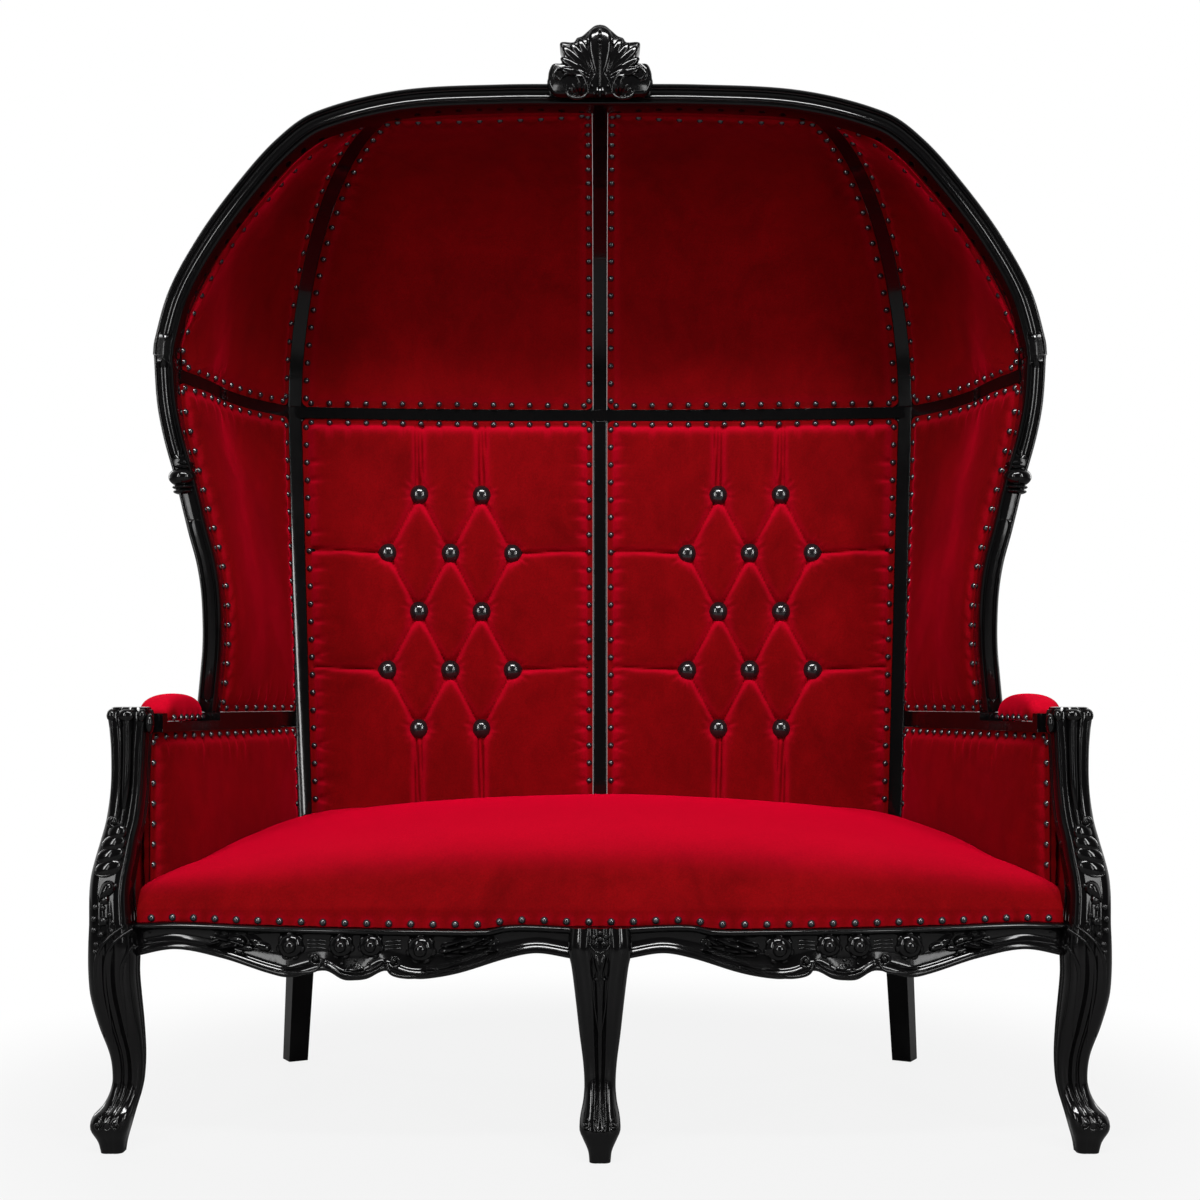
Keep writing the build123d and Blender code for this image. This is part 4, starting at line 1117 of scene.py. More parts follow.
def seat_level(x, y):
    share = (y - RAIL_FRONT_CENTER) / (BACK_MIDDLE[0] - RAIL_FRONT_CENTER)
    middle, side = curve_row(SEAT_ROWS, share)
    return blend(SEAT_BASE, SEAT_CROWN, blend(middle, side, (x / SEAT_HALF) ** 2))


SEAT_SKIRT = 0.055
SEAT_CLOTH = (1356, 720)
SEAT_FLOOR = RAIL_TOP + 5
SEAT_FRONT_ROW = -290
# The seat's half width from front to back, then the rail's upper and lower edge from middle to corner.
SEAT_PLAN = ((0.0, 678.0), (0.07, 677.0), (0.155, 655.0), (0.93, 531.0), (1.0, 508.0))
RAIL_WAVE = (
    (0, 0.035), (0.09, 0), (0.145, 0.01), (0.19, 0.083), (0.31, 0.09), (0.52, 0.08), (0.73, 0.055),
    (0.89, 0.02), (1, 0.06),
)
RAIL_LOW = (
    (0, 0.6), (0.078, 0.505), (0.143, 0.595), (0.253, 0.865), (0.327, 0.97), (0.365, 0.958), (0.418, 0.835),
    (0.459, 0.98), (0.489, 1.012), (0.514, 1), (0.555, 0.845), (0.635, 0.975), (0.68, 0.915), (0.79, 0.655),
    (0.9, 0.51), (1, 0.66),
)


def rail_level(rows, side):
    share = clamp((abs(side) - RAIL_INNER) / (RAIL_OUTER - RAIL_INNER))
    return RAIL_CREST - RAIL_DROP * curve_row(rows, share)[0]


def seat_front(x):
    return rail_bow(x) + SEAT_EDGE_BACK + FIT


def seat_rim(spot):
    """Whether a place, in metres, lies on the seat's border."""
    x, y, _ = spot / MM
    front = seat_front(x)
    share = clamp((y - front) / (BACK_MIDDLE[0] - SEAT_BACK_GAP - front))
    return y < front + 4 or share > 0.97 or abs(x) > curve_row(SEAT_PLAN, share)[0] - 9


def seat_place(u, v, tree):
    """A place on the seat's cloth, which goes down to the rail in the first part of v."""
    inside = clamp((v - SEAT_SKIRT) / (1 - SEAT_SKIRT))
    wide = curve_row(SEAT_PLAN, inside)[0]
    x = wide * (2 * u - 1)
    front = seat_front(x)
    back = BACK_MIDDLE[0] - SEAT_BACK_GAP - 30 * (x / 520) ** 2 * rise(inside, 0.6, 1)
    y = blend(front, back, inside)
    z = seat_level(x, y)
    if v <= SEAT_SKIRT:
        share = v / SEAT_SKIRT
        y = front + 0.6 * share
        low = rail_level(RAIL_WAVE, x) + 1.5
        z = blend(low, seat_level(x, front), math.sin(share * math.pi / 2) ** 0.9)
    side = min(u, 1 - u) * 2 * wide
    edge = 1 - math.sqrt(clamp(1 - (1 - clamp(side / 26)) ** 2))
    z -= edge * 14 * rise(inside, 0.03, 0.12)
    here = Vector((x, y, z))
    near, _, reach = tree.find(here * MM)
    across, climb = near.x / MM - x, max(z - near.z / MM, 0)
    pull = 1.3 * (1 + noise.noise(near * 41)) * math.exp(-((across / 3.4) ** 2)) * math.exp(-climb / 15)
    pull += 1.8 * math.exp(-((reach / MM / 9) ** 2))
    drift = (noise.noise(here * 0.006) * 1.6 + noise.noise(here * 0.02) * 0.5) * rise(inside, 0.02, 0.2)
    return (here + Vector((0, pull * 0.9, drift - pull * 0.5))) * MM


def close_below(piece):
    """Draws an open cloth's edge down to the seat's floor and closes it there."""
    edit(piece)
    bpy.ops.mesh.region_to_loop()
    bpy.ops.mesh.extrude_edges_move()
    leave_edit()
    for vertex in piece.data.vertices:
        if vertex.select:
            vertex.co.z = SEAT_FLOOR * MM
            if vertex.co.y < SEAT_FRONT_ROW * MM:
                vertex.co.y += 0.004
    bpy.ops.object.mode_set(mode="EDIT")
    bpy.ops.mesh.edge_face_add()
    leave_edit()
    recalculated(piece)


class SETTEE_OT_seat(PieceOperator, bpy.types.Operator):
    """The tight domed seat, drawn down to a row of nails along its front"""

    bl_idname = "settee.seat"
    bl_label = "Seat"

    def build(self):
        tree = nail_tree("seat_nails")
        step = 5.0
        cells = (round(SEAT_CLOTH[0] / step), round(SEAT_CLOTH[1] / (step * 1.7)))
        piece = laid_grid("seat_velvet", *cells, lambda u, v: seat_place(u, v, tree))
        firm = [v.index for v in piece.data.vertices if seat_rim(v.co) or tree.find(v.co)[2] < 0.012]
        swollen(piece, firm, pressure=1.2, frames=8, cap=0.005)
        close_below(piece)
        # Painted sheen on the seat: brighter where its top faces up, with a painted highlight round each
        # front nail.
        shares = []
        for vertex in piece.data.vertices:
            reach = tree.find(vertex.co)[2] / MM
            edge = 0.35 * math.exp(-((reach / 9) ** 2))
            shares.append(clamp(0.72 * rise(vertex.normal.z, 0.6, 1.0) ** 1.5 + edge))
        paint_sheen(piece, shares)
        smooth(piece, 50)
        settle(piece, "velvet", "seat_pad")


# The arm pad from front to back: its inner and outer side and its crown, as shares.
PAD_ROWS = (
    (0, 0.97, 1.03, 0.45), (0.12, 0.961, 1.044, 0.82), (0.5, 0.957, 1.036, 1), (0.88, 0.954, 1.02, 0.85),
    (1, 0.956, 1.01, 0.5),
)
PAD_RINGS = 40
PAD_POINTS = 36


def pad_ring(along, low, high, tree):
    inner, outer, crown = curve_row(PAD_ROWS, along)
    pinch = math.sqrt(clamp(1 - (2 * along - 1) ** 10))
    left, right = WALL_FRONT * inner * MM, WALL_FRONT * outer * MM
    middle, half = (left + right) / 2, (right - left) / 2 * blend(0.72, 1, pinch)
    top = blend(low.z, high.z, crown * blend(0.7, 1, pinch))
    y = blend(low.y, high.y, along)
    ring = []
    for turn in range(PAD_POINTS):
        angle = math.tau * turn / PAD_POINTS
        x = middle + half * math.copysign(abs(math.cos(angle)) ** 0.6, math.cos(angle))
        up = math.sin(angle)
        z = blend(low.z, top, 0.28 + (0.72 if up > 0 else 0.28) * up)
        reach = tree.find(Vector((x, y, z)))[2]
        pull = 0.0016 * math.exp(-((reach / 0.008) ** 2))
        ring.append(Vector((x + pull if x < middle else x - pull, y, z)))
    return ring


class SETTEE_OT_arm_pads(PieceOperator, bpy.types.Operator):
    """Small velvet pads on the arms"""

    bl_idname = "settee.arm_pads"
    bl_label = "Arm pads"

    def build(self):
        low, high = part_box("arm_pad_right")
        tree = near_tree([head[0] for head in nail_heads["arm_nails"] if head[0].z > 0.625])
        rings = [pad_ring(index / PAD_RINGS, low, high, tree) for index in range(PAD_RINGS + 1)]
        pad = run_of_rings("arm_pad_velvet", rings)
        firm = [v.index for v in pad.data.vertices if v.co.z < 0.640 or tree.find(v.co)[2] < 0.006]
        swollen(pad, firm, pressure=4.0, frames=20, cap=0.003)
        apply_modifier(pad, "SUBSURF", levels=1, render_levels=1)
        # Painted sheen: the pad is painted brighter where it faces up.
        paint_sheen(pad, [0.8 * rise(vertex.normal.z, -0.1, 1.0) for vertex in pad.data.vertices])
        smooth(pad, 60)
        settle_pair(pad, "arm_pad_velvet", "velvet", ["arm_pad"])


# Nails and buttons.

BUTTON_HEIGHT = 0.0115


class SETTEE_OT_nails(PieceOperator, bpy.types.Operator):
    """Dome nails along every panel"""

    bl_idname = "settee.nails"
    bl_label = "Dome nails"

    def build(self):
        pattern = domed(sizes().nail_diameter / 2, sizes().nail_height, 10, 8, 0.08)
        for group in NAIL_GROUPS:
            piece = strewn(f"{group[:-6]}_nail_heads", pattern, nail_heads[group])
            settle(piece, "dome_nail", group)
        bpy.data.objects.remove(pattern)


class SETTEE_OT_buttons(PieceOperator, bpy.types.Operator):
    """Glossy tuft buttons"""

    bl_idname = "settee.buttons"
    bl_label = "Tuft buttons"

    def build(self):
        pattern = domed(sizes().button_diameter / 2 * 0.99, BUTTON_HEIGHT, 36, 22, 0.05)
        apply_modifier(pattern, "BEVEL", width=0.0006, segments=2, limit_method="ANGLE")
        settle(strewn("back_buttons", pattern, button_heads), "button", "tuft_buttons")
        bpy.data.objects.remove(pattern)


# Lacquered frame.


# Half the section of a moulding: offsets across and depths behind its front.
MOLDING = (
    (17, 42), (17, 9), (16.6, 5), (15.4, 2.1), (13.4, 0.7), (11.7, 1.4), (10.8, 3.2), (10.4, 4), (9.8, 3.6),
    (9.2, 1.5), (8.3, 0.6), (7.4, 1.5), (6.8, 3.8), (5.3, 5.6), (2.8, 6.8), (0, 7.2),
)


CHANNEL_EDGE = 9.9
CHANNEL_END = 11
BALL_LEVEL = 1016


def molding_profile(half, end):
    """A ring of offsets across and depths behind the front; end is 1 along the channel and 0 past it."""
    outer = []
    for across, depth in MOLDING:
        if across <= CHANNEL_EDGE:
            outer.append((across * blend(0.08, 1, end), blend(3.4, depth, end)))
        else:
            outer.append((across * half / ARCH_HALF, depth))
    return outer + [(-across, depth) for across, depth in reversed(outer[:-1])]


def channel_end(distance):
    """1 well inside the channel and 0 beyond its end, round in between."""
    return math.sqrt(1 - (1 - clamp(distance / CHANNEL_END)) ** 2)


def molded_run(name, line, half, channel):
    """A moulded bar along points in front view; each has its side, its level and its front's depth."""
    rings = []
    lengths = [0.0]
    for a, b in zip(line, line[1:]):
        lengths.append(lengths[-1] + math.hypot(b[0] - a[0], b[1] - a[1]))
    for index, (x, z, front) in enumerate(line):
        before, after = line[max(index - 1, 0)], line[min(index + 1, len(line) - 1)]
        way = Vector((after[0] - before[0], after[1] - before[1])).normalized()
        end = channel_end(min(lengths[index] - channel[0], channel[1] - lengths[index]))
        profile = molding_profile(half, end)
        ring = [Vector((x - way.y * off, front + depth, z + way.x * off)) * MM for off, depth in profile]
        rings.append(ring)
    piece = run_of_rings(name, rings)
    smooth(piece, 48)
    return piece


def even_line(place, count, start=0.0, end=1.0):
    return [place(blend(start, end, index / count)) for index in range(count + 1)]


def arch_place(share):
    turn = share * math.pi / 2
    rows = sorted((math.atan2(side, up), side, up) for side, up in ARCH_LINE)
    side, up = curve_row(rows, turn)
    return (ARCH_SIDE * side, JOINT_LEVEL + ARCH_RISE * up, ARCH_FRONT)


def stile_place(share):
    level = blend(JOINT_LEVEL, ARM_TOP, share)
    return (stile_offset(level), level, stile_back(level) - MOLDING_DEPTH)


class SETTEE_OT_arch(PieceOperator, bpy.types.Operator):
    """Moulded arch at the hood's mouth and the stiles under it, with their balls"""

    bl_idname = "settee.arch"
    bl_label = "Arch and stiles"

    def build(self):
        steps = 130
        arch = molded_run("arch_molding", even_line(arch_place, steps), ARCH_HALF, (60, 876))
        settle_pair(arch, "arch_molding", "lacquer", ["arch"])
        stile = molded_run("stile_molding", even_line(stile_place, steps), STILE_HALF, (8, 162))
        line = even_line(stile_place, steps, 0.44, 0.995)
        lower = molded_run("stile_lower", line, STILE_HALF * 0.94, (8, 300))
        for vertex in lower.data.vertices:
            vertex.co.y -= 0.0012
        parts = [stile, lower]
        front = stile_back(BALL_LEVEL) - MOLDING_DEPTH
        middle = Vector((stile_offset(BALL_LEVEL) + 7, front + 12, BALL_LEVEL)) * MM
        parts.append(ball(middle + Vector((-0.003, 0, 0)), (0.0225, 0.0205, 0.0155), 32, 18))
        for lift, radius in ((16, 18.5), (-16, 19.0), (22, 16.5), (-23, 17.5)):
            center = middle + Vector((-0.005, 0.003, lift * MM))
            parts.append(ball(center, (radius * MM, radius * MM, 0.0048), 28, 12))
        stile = joined("stile_molding", parts)
        smooth(stile, 48)
        settle_pair(stile, "stile_molding", "lacquer", ["stile"])


CORNER_POINTS = 4
SIDE_POINTS = 20


def boxed_ring(left, right, front, back, level, flutes):
    """A ring round a leg or post, with round corners and hollows down its front and its sides."""
    radius = min(right - left, back - front) * 0.3
    corners = ((right, back), (left, back), (left, front), (right, front))
    centers = [
        (x - radius if x == right else x + radius, y - radius if y == back else y + radius)
        for x, y in corners
    ]
    points = []
    for index, center in enumerate(centers):
        for step in range(CORNER_POINTS):
            angle = math.radians(90 * index + 90 * step / (CORNER_POINTS - 1))
            points.append((center[0] + radius * math.cos(angle), center[1] + radius * math.sin(angle)))
        angle = math.radians(90 * index + 90)
        out = (math.cos(angle), math.sin(angle))
        ends = list(zip(center, centers[(index + 1) % 4], out))
        for step in range(1, SIDE_POINTS + 1):
            share = step / (SIDE_POINTS + 1)
            hollow = 0.0
            if index > 0:
                hollow = 1.5 * flutes * math.exp(-(((abs(2 * share - 1) - 0.45) / 0.2) ** 2))
            spot = [blend(a + radius * way, b + radius * way, share) - way * hollow for a, b, way in ends]
            points.append(spot)
    return [Vector((x, y, level)) * MM for x, y in points]


# How far the knee of the center leg lies back, to leave its carving inside the solid.
CARVED_ROOM = 5
CENTER_DEPTH = 76
CENTER_WIDTH = 46
LEG_BASE = 675
LEG_WIDTH = 70
LEG_FRONT = -334
LEG_DEPTH = 79
# From foot to head: outer and inner side, front and back as shares of the leg's square, and its flutes.
LEG_ROWS = (
    (0, 0.77, 0.3, 0.27, 0.7, 0.6), (0.05, 0.83, 0.26, 0.23, 0.72, 0.4), (0.113, 0.96, 0.16, 0.1, 0.68, 0),
    (0.165, 0.91, 0.1, 0.12, 0.74, 0.6), (0.205, 0.74, 0.06, 0.26, 0.8, 2),
    (0.255, 0.63, 0, 0.38, 0.83, 2.6), (0.313, 0.58, -0.05, 0.42, 0.85, 2.8),
    (0.417, 0.63, -0.07, 0.38, 0.91, 3), (0.55, 0.82, -0.05, 0.21, 0.92, 3.2),
    (0.685, 0.97, 0, 0.08, 0.92, 3.4), (0.78, 1, 0.03, 0.03, 0.91, 3.2), (0.893, 1, 0.02, 0.01, 0.9, 2.2),
    (1, 0.98, 0.08, 0.03, 0.89, 1.2),
)
# The same for the arm post, whose back is straight, and for the center leg, with its half width first.
POST_ROWS = (
    (0, 0.98, 0.12, 0.04, 0.3), (0.133, 0.985, 0.16, 0.08, 0), (0.216, 0.97, 0.13, 0.13, 0),
    (0.295, 0.9, 0.07, 0.19, 0), (0.378, 0.8, 0.02, 0.24, 0.4), (0.479, 0.69, -0.07, 0.29, 2.8),
    (0.629, 0.61, -0.135, 0.33, 3.6), (0.797, 0.605, -0.17, 0.33, 3.4), (0.902, 0.64, -0.21, 0.33, 3.2),
    (0.965, 0.67, -0.23, 0.33, 2.6), (1, 0.62, -0.17, 0.4, 0.8),
)
CENTER_ROWS = (
    (0, 0.33, 0.24, 0.68, 0.5), (0.05, 0.37, 0.18, 0.71, 0.4), (0.104, 0.53, 0.08, 0.76, 0),
    (0.14, 0.635, 0.04, 0.82, 0.3), (0.188, 0.615, 0.11, 0.87, 1.5), (0.244, 0.53, 0.24, 0.92, 2.4),
    (0.324, 0.49, 0.34, 0.95, 2.6), (0.417, 0.53, 0.36, 0.97, 2.8), (0.539, 0.64, 0.26, 1, 3),
    (0.69, 0.76, 0.13, 1, 3.2), (0.833, 0.89, 0.03, 0.97, 3), (0.908, 1, 0, 0.95, 2.4),
    (1, 0.95, 0.05, 0.92, 1.2),
)


def leg_ring(outer, inner, front, back, level, flutes, inset=0.0):
    """A ring of a corner leg or post, whose sides and front are shares of the leg's square."""
    left, right = LEG_BASE + LEG_WIDTH * inner + inset, LEG_BASE + LEG_WIDTH * outer - inset
    return boxed_ring(left, right, LEG_FRONT + LEG_DEPTH * front + inset, back - inset, level, flutes)


SCROLL_STEPS = 26
SCROLL_EYE = 0.16


def spiral(center, radius, turns, depth, way, start):
    """Points of a scroll in front view that winds in to its eye."""
    points = []
    for index in range(SCROLL_STEPS + 1):
        share = index / SCROLL_STEPS
        angle = start + way * turns * math.tau * share
        reach = radius * (SCROLL_EYE + (1 - SCROLL_EYE) * (1 - share) ** 1.25)
        across, up = reach * math.cos(angle), reach * math.sin(angle)
        points.append((center[0] + across, depth - 1.5 * share, center[1] + up))
    return points


def carved_pattern(name, shape, segments, rings):
    """A ball that is shaped into a petal, a leaf or a bead, one long and one wide from its root."""
    piece = sphere(segments, rings)
    piece.name = name
    piece.data.transform(Matrix.Rotation(math.pi / 2, 4, "Y"))
    for vertex in piece.data.vertices:
        vertex.co = shape(*vertex.co)
    return piece


def petal_shape(x, y, z):
    along = (x + 1) / 2
    wide = y * 0.5 * (0.42 + 0.75 * along)
    high = z * (0.45 + 0.55 * along) if z > 0 else z * 0.25
    if z > 0:
        high -= 0.42 * math.exp(-((y / 0.3) ** 2)) * z * (1 - along * 0.5)
    return (along, wide, high)


def leaf_shape(x, y, z):
    along = (x + 1) / 2
    wide = y * 0.5 * (1.25 - 0.95 * along)
    high = z * 0.75 if z > 0 else z * 0.25
    if z > 0:
        high += 0.4 * math.exp(-((y / 0.22) ** 2)) * z
    return (along, wide, high)


def bead_shape(x, y, z):
    return (x * 0.5, y * 0.5, z * 0.5)


BEFORE_ALL = -700
NEAR_FRONT = -360


class Carving:
    """Carved petals, leaves, beads and rolls that lie on the front of the piece that carries them."""

    def __init__(self, carrier):
        corners = [vertex.co for vertex in carrier.data.vertices]
        self.tree = BVHTree.FromPolygons(corners, [tuple(face.vertices) for face in carrier.data.polygons])
        self.carrier = carrier
        self.patterns = {
            "petal": carved_pattern("petal", petal_shape, 14, 10),
            "leaf": carved_pattern("leaf", leaf_shape, 14, 10),
            "bead": carved_pattern("bead", bead_shape, 14, 9),
        }
        self.mesh = bmesh.new()
        self.rolls = []

    def spot(self, x, z, lift=0.0):
        """The carrier's front at a place in front view, raised by a lift, and the way it looks."""
        hit, normal, _, _ = self.tree.ray_cast(Vector((x, BEFORE_ALL, z)) * MM, Vector((0, 1, 0)))
        if hit is None:
            hit, normal, _, _ = self.tree.find_nearest(Vector((x, NEAR_FRONT, z)) * MM)
            hit = Vector((x * MM, hit.y, z * MM))
        if normal.y > 0:
            normal = -normal
        normal = (normal + Vector((0, -0.6, 0))).normalized()
        return hit + normal * lift * MM, normal

    def add(self, kind, x, z, turn, length, width, height, lift=0.0):
        """Sets one shape with its root at a place; turn is its direction in front view, in degrees."""
        hit, normal = self.spot(x, z, lift)
        angle = math.radians(turn)
        way = Vector((math.cos(angle), 0, math.sin(angle)))
        way = (way - normal * way.dot(normal)).normalized()
        side = normal.cross(way)
        stand = Matrix((way * length, side * width, normal * height)).transposed() * MM
        add_shape(self.mesh, self.patterns[kind], Matrix.Translation(hit) @ stand.to_4x4())

    def bead(self, x, z, size, lift=0.0):
        self.add("bead", x, z, 0, size, size, size * 0.9, lift)

    def beads(self, rows, lift):
        for x, z, size in rows:
            self.bead(x, z, size, lift)

    def roll(self, points, radius, lift=0.0, ends=(0.35, 0.35)):
        """A round roll through points in front view, which thins out to its ends."""
        count = len(points) - 1
        taper = []
        for index in range(count + 1):
            share = index / count
            end = ends[0] if share < 0.5 else ends[1]
            taper.append(blend(end, 1, rise(min(share, 1 - share), -0.02, 0.3)))
        laid = [list(self.spot(x, z, lift)[0] / MM) for x, z in points]
        for _ in range(2):
            depths = [place[1] for place in laid]
            for index in range(1, count):
                laid[index][1] = (depths[index - 1] + depths[index] * 2 + depths[index + 1]) / 4
        self.rolls.append(tube("roll", laid, radius, taper))

    def scroll(self, x, z, radius, turns, way, start, thick, lift=0.0, level=False):
        """A volute that winds in to a bead; a level one keeps the depth of its middle."""
        depth = self.spot(x, z, lift)[0].y / MM
        points = spiral((x, z), radius, turns, depth, way, start)
        if level:
            self.rolls.append(tube("scroll", points, thick))
        else:
            self.roll([(px, pz) for px, _, pz in points], thick, lift, (0.8, 0.5))
        self.bead(x, z, thick * 2.4, lift + thick * 0.3)

    def fan(self, x, z, middle, spread, count, length, width, height, lift):
        """Petals from one root, spread evenly about a direction."""
        for index in range(count):
            turn = middle + spread * (index / (count - 1) - 0.5)
            self.add("petal", x, z, turn, length, width, height, lift)

    def rosette(self, x, z, radius):
        """A domed flower: a ring of short petals round a large ball."""
        self.add("bead", x, z, 0, radius * 1.8, radius * 1.8, radius * 1.05)
        for index in range(7):
            angle = math.tau * index / 7 + math.pi / 2
            side, up = 0.42 * radius * math.cos(angle), 0.42 * radius * math.sin(angle)
            turn = math.degrees(angle)
            self.add("petal", x + side, z + up, turn, radius * 0.6, radius * 0.62, radius * 0.42)
        self.bead(x, z, radius * 0.95, radius * 0.40)

    def finish(self, name):
        """Joins the carrier and all that was set on it."""
        shapes = from_bmesh(name, self.mesh)
        for pattern in self.patterns.values():
            bpy.data.objects.remove(pattern)
        whole = joined(name, [self.carrier, shapes, *self.rolls])
        smooth(whole, 50)
        return whole


# The center leg's rolls on one side, each with its places in front view, its radius and its lift.
CENTER_ROLLS = (
    (((30, 330), (17, 297), (10, 250), (7, 214), (0, 176)), 1.5, 0.2),
    (((17, 318), (10, 305), (3, 302), (0, 302)), 1.7, 0.6),
    (((20, 334), (13, 300), (4, 272), (0, 250)), 1.3, 0.3),
)
# Where the ridges and beads of the knee lie in front view, as sides and levels.
KNEE_RIDGES = (
    ((690, 333), (712, 318), (727, 294), (731, 262), (727, 215), (722, 170)),
    ((676, 330), (700, 316), (714, 292), (718, 250), (713, 206), (709, 160)),
    ((676, 304), (689, 287), (694, 262), (690, 215), (688, 170)),
)
KNEE_BEADS = (
    (729, 361, 8.5), (719, 360, 8.5), (709, 350, 9), (731, 344, 8.5), (718, 341, 14), (704, 340, 7),
    (706, 327, 8), (721, 322, 9.5), (731, 328, 8), (727, 308, 8), (729, 297, 6.5),
)
# Lobes of the arm post: side, level and length; then the roll under each, as shares and drops.
GADROONS = (
    (703, 468, 27), (707, 452, 34), (711, 435, 38), (713, 417, 37),
)
LOBE_EDGE = ((-0.5, -2), (-0.2, 9), (0.25, 13), (0.52, 9))


class SETTEE_OT_legs(PieceOperator, bpy.types.Operator):
    """Cabriole front legs with a scroll toe"""

    bl_idname = "settee.legs"
    bl_label = "Front legs"

    def build(self):
        steps = 64
        self.corner_legs([index / steps for index in range(steps + 1)])
        self.center_leg([index / steps for index in range(steps + 1)])

    def corner_legs(self, shares):
        rings = []
        for share in shares:
            outer, inner, front, back, flutes = curve_row(LEG_ROWS, share)
            rear = LEG_FRONT + LEG_DEPTH * back
            rings.append(leg_ring(outer, inner, front, rear, LEG_HEIGHT * share, flutes))
        carving = Carving(run_of_rings("front_leg_carved", rings))
        for way, side in ((1, 727), (-1, 701)):
            carving.scroll(side, 45, 9.5, 1.1, way, math.pi / 2, 2.2, 0.3)
        carving.roll([(705, 60), (707, 42), (714, 36), (721, 42), (723, 60)], 1.8, 0.4)
        for points in KNEE_RIDGES:
            carving.roll(points, 3.2, 1.0, (0.6, 0.2))
        carving.beads([row for row in KNEE_BEADS if row[1] < LEG_HEIGHT - 4], 0.6)
        leg = carving.finish("front_leg_carved")
        settle_pair(leg, "front_leg_carved", "lacquer", ["front_leg"])

    def center_leg(self, shares):
        rings = []
        for share in shares:
            half, front, back, flutes = curve_row(CENTER_ROWS, share)
            face = KNEE_FRONT + CENTER_DEPTH * front + CARVED_ROOM * rise(share, 0.6, 0.9)
            side, rear = CENTER_WIDTH * half, KNEE_FRONT + CENTER_DEPTH * back
            rings.append(boxed_ring(-side, side, face, rear, LEG_HEIGHT * share, flutes))
        carving = Carving(run_of_rings("center_leg_carved", rings))
        for way in (1, -1):
            carving.scroll(way * 20, 58, 7.5, 1.1, way, math.pi / 2, 1.9, 0.3)
            for row, thick, lift in CENTER_ROLLS:
                carving.roll([(way * x, z) for x, z in row], thick, lift)
            carving.bead(way * 5.5, 264, 4.2, 0.6)
            carving.add("leaf", way * 6, 300, -90 - way * 12, 36, 8, 3.4, 0.2)
        for index in range(5):
            angle = math.radians(90 + 72 * index)
            carving.bead(9 * math.cos(angle), 322 + 8 * math.sin(angle), 8.5, 0.8)
        carving.bead(0, 322, 8, 2.4)
        carving.roll([(0, 303), (0, 290), (0, 275), (0, 262)], 2.2, 0.6)
        carving.roll([(-9, 64), (-8, 52), (0, 48), (8, 52), (9, 64)], 1.6, 0.4)
        settle(carving.finish("center_leg_carved"), "lacquer", "center_front_leg")


class SETTEE_OT_posts(PieceOperator, bpy.types.Operator):
    """Fluted arm posts with a carved leaf and a cluster of beads"""

    bl_idname = "settee.posts"
    bl_label = "Arm posts"

    def build(self):
        steps = 72
        rings = []
        for index in range(steps + 1):
            outer, inner, front, flutes = curve_row(POST_ROWS, index / steps)
            level = blend(LEG_HEIGHT, POST_TOP, index / steps)
            rings.append(leg_ring(outer, inner, front, POST_BACK, level, flutes))
        rings[-1] = [Vector((p.x, p.y, (POST_TOP - 4) * MM)) for p in rings[-1]]
        for inset, level in ((1.6, POST_TOP - 0.8), (5.5, POST_TOP)):
            rings.append(leg_ring(outer, inner, front, POST_BACK, level, flutes, inset))
        carving = Carving(run_of_rings("arm_post_carved", rings))
        for x, wide in ((713.5, 15), (691, 25), (668.5, 15)):
            carving.add("bead", x, 639, 0, wide, 19, 15, -2.0)
        carving.add("bead", 657, 626, 0, 13, 30, 20, -3.0)
        for share, thick in ((0.12, 3.0), (0.5, 6.5), (0.88, 3.0)):
            row = []
            for level in (636, 600, 560, 520, 490):
                outer, inner = curve_row(POST_ROWS, (level - LEG_HEIGHT) / (POST_TOP - LEG_HEIGHT))[:2]
                row.append((LEG_BASE + LEG_WIDTH * blend(inner, outer, share), level))
            carving.roll(row, thick, 0.6 - thick * 0.6, (0.95, 0.2))
        carving.scroll(708, 484, 8.5, 1.0, 1, -math.pi / 2, 3.6, 0.5, True)
        for index, (x, z, length) in enumerate(GADROONS):
            carving.add("bead", x, z, 160, length * 1.12, 27, 15, -0.5 * index)
            carving.roll([(x + length * share, z - drop) for share, drop in LOBE_EDGE], 2.4, 1.6, (0.5, 0.5))
        carving.add("leaf", 706, 398, -58, 36, 24, 13, 0.6)
        carving.add("petal", 714, 386, -80, 22, 16, 10, 0.8)
        carving.bead(702, 392, 7, 1.0)
        carving.beads([row for row in KNEE_BEADS if row[1] > LEG_HEIGHT + 1], 0.8)
        post = carving.finish("arm_post_carved")
        settle_pair(post, "arm_post_carved", "lacquer", ["arm_support"])


# Leaves of the front rail: side, level, direction, length and width; then the stems between them.
LEFT_SPRAY = (
    (476, 300, 20, 36, 15), (488, 306, 30, 30, 13), (500, 302, 358, 30, 13), (512, 309, 22, 32, 13),
    (524, 306, 350, 30, 11), (538, 312, 18, 26, 10), (549, 311, 348, 24, 8),
)
RIGHT_SPRAY = (
    (232, 300, 170, 40, 12), (229, 307, 164, 40, 11), (226, 294, 178, 34, 9), (206, 306, 168, 36, 12),
    (203, 299, 172, 34, 9), (188, 311, 160, 28, 9), (182, 304, 170, 26, 9), (170, 309, 150, 22, 9),
    (167, 302, 178, 22, 8),
)
STEMS = (
    ((470, 296), (495, 300), (520, 306), (545, 314), (566, 317)),
    ((497, 312), (510, 304), (520, 296), (516, 290)),
    ((530, 320), (545, 312), (556, 304)),
    ((236, 297), (210, 301), (185, 308), (160, 317), (146, 318)),
    ((200, 313), (192, 303), (184, 296)),
)
LAP_BEADS = ((366, 272), (338, 272), (372, 281), (333, 281), (352, 286))
SPRAY_BEADS = ((158, 306, 6), (152, 311, 5.5), (146, 314, 4.5), (163, 312, 4.5), (564, 315, 4))
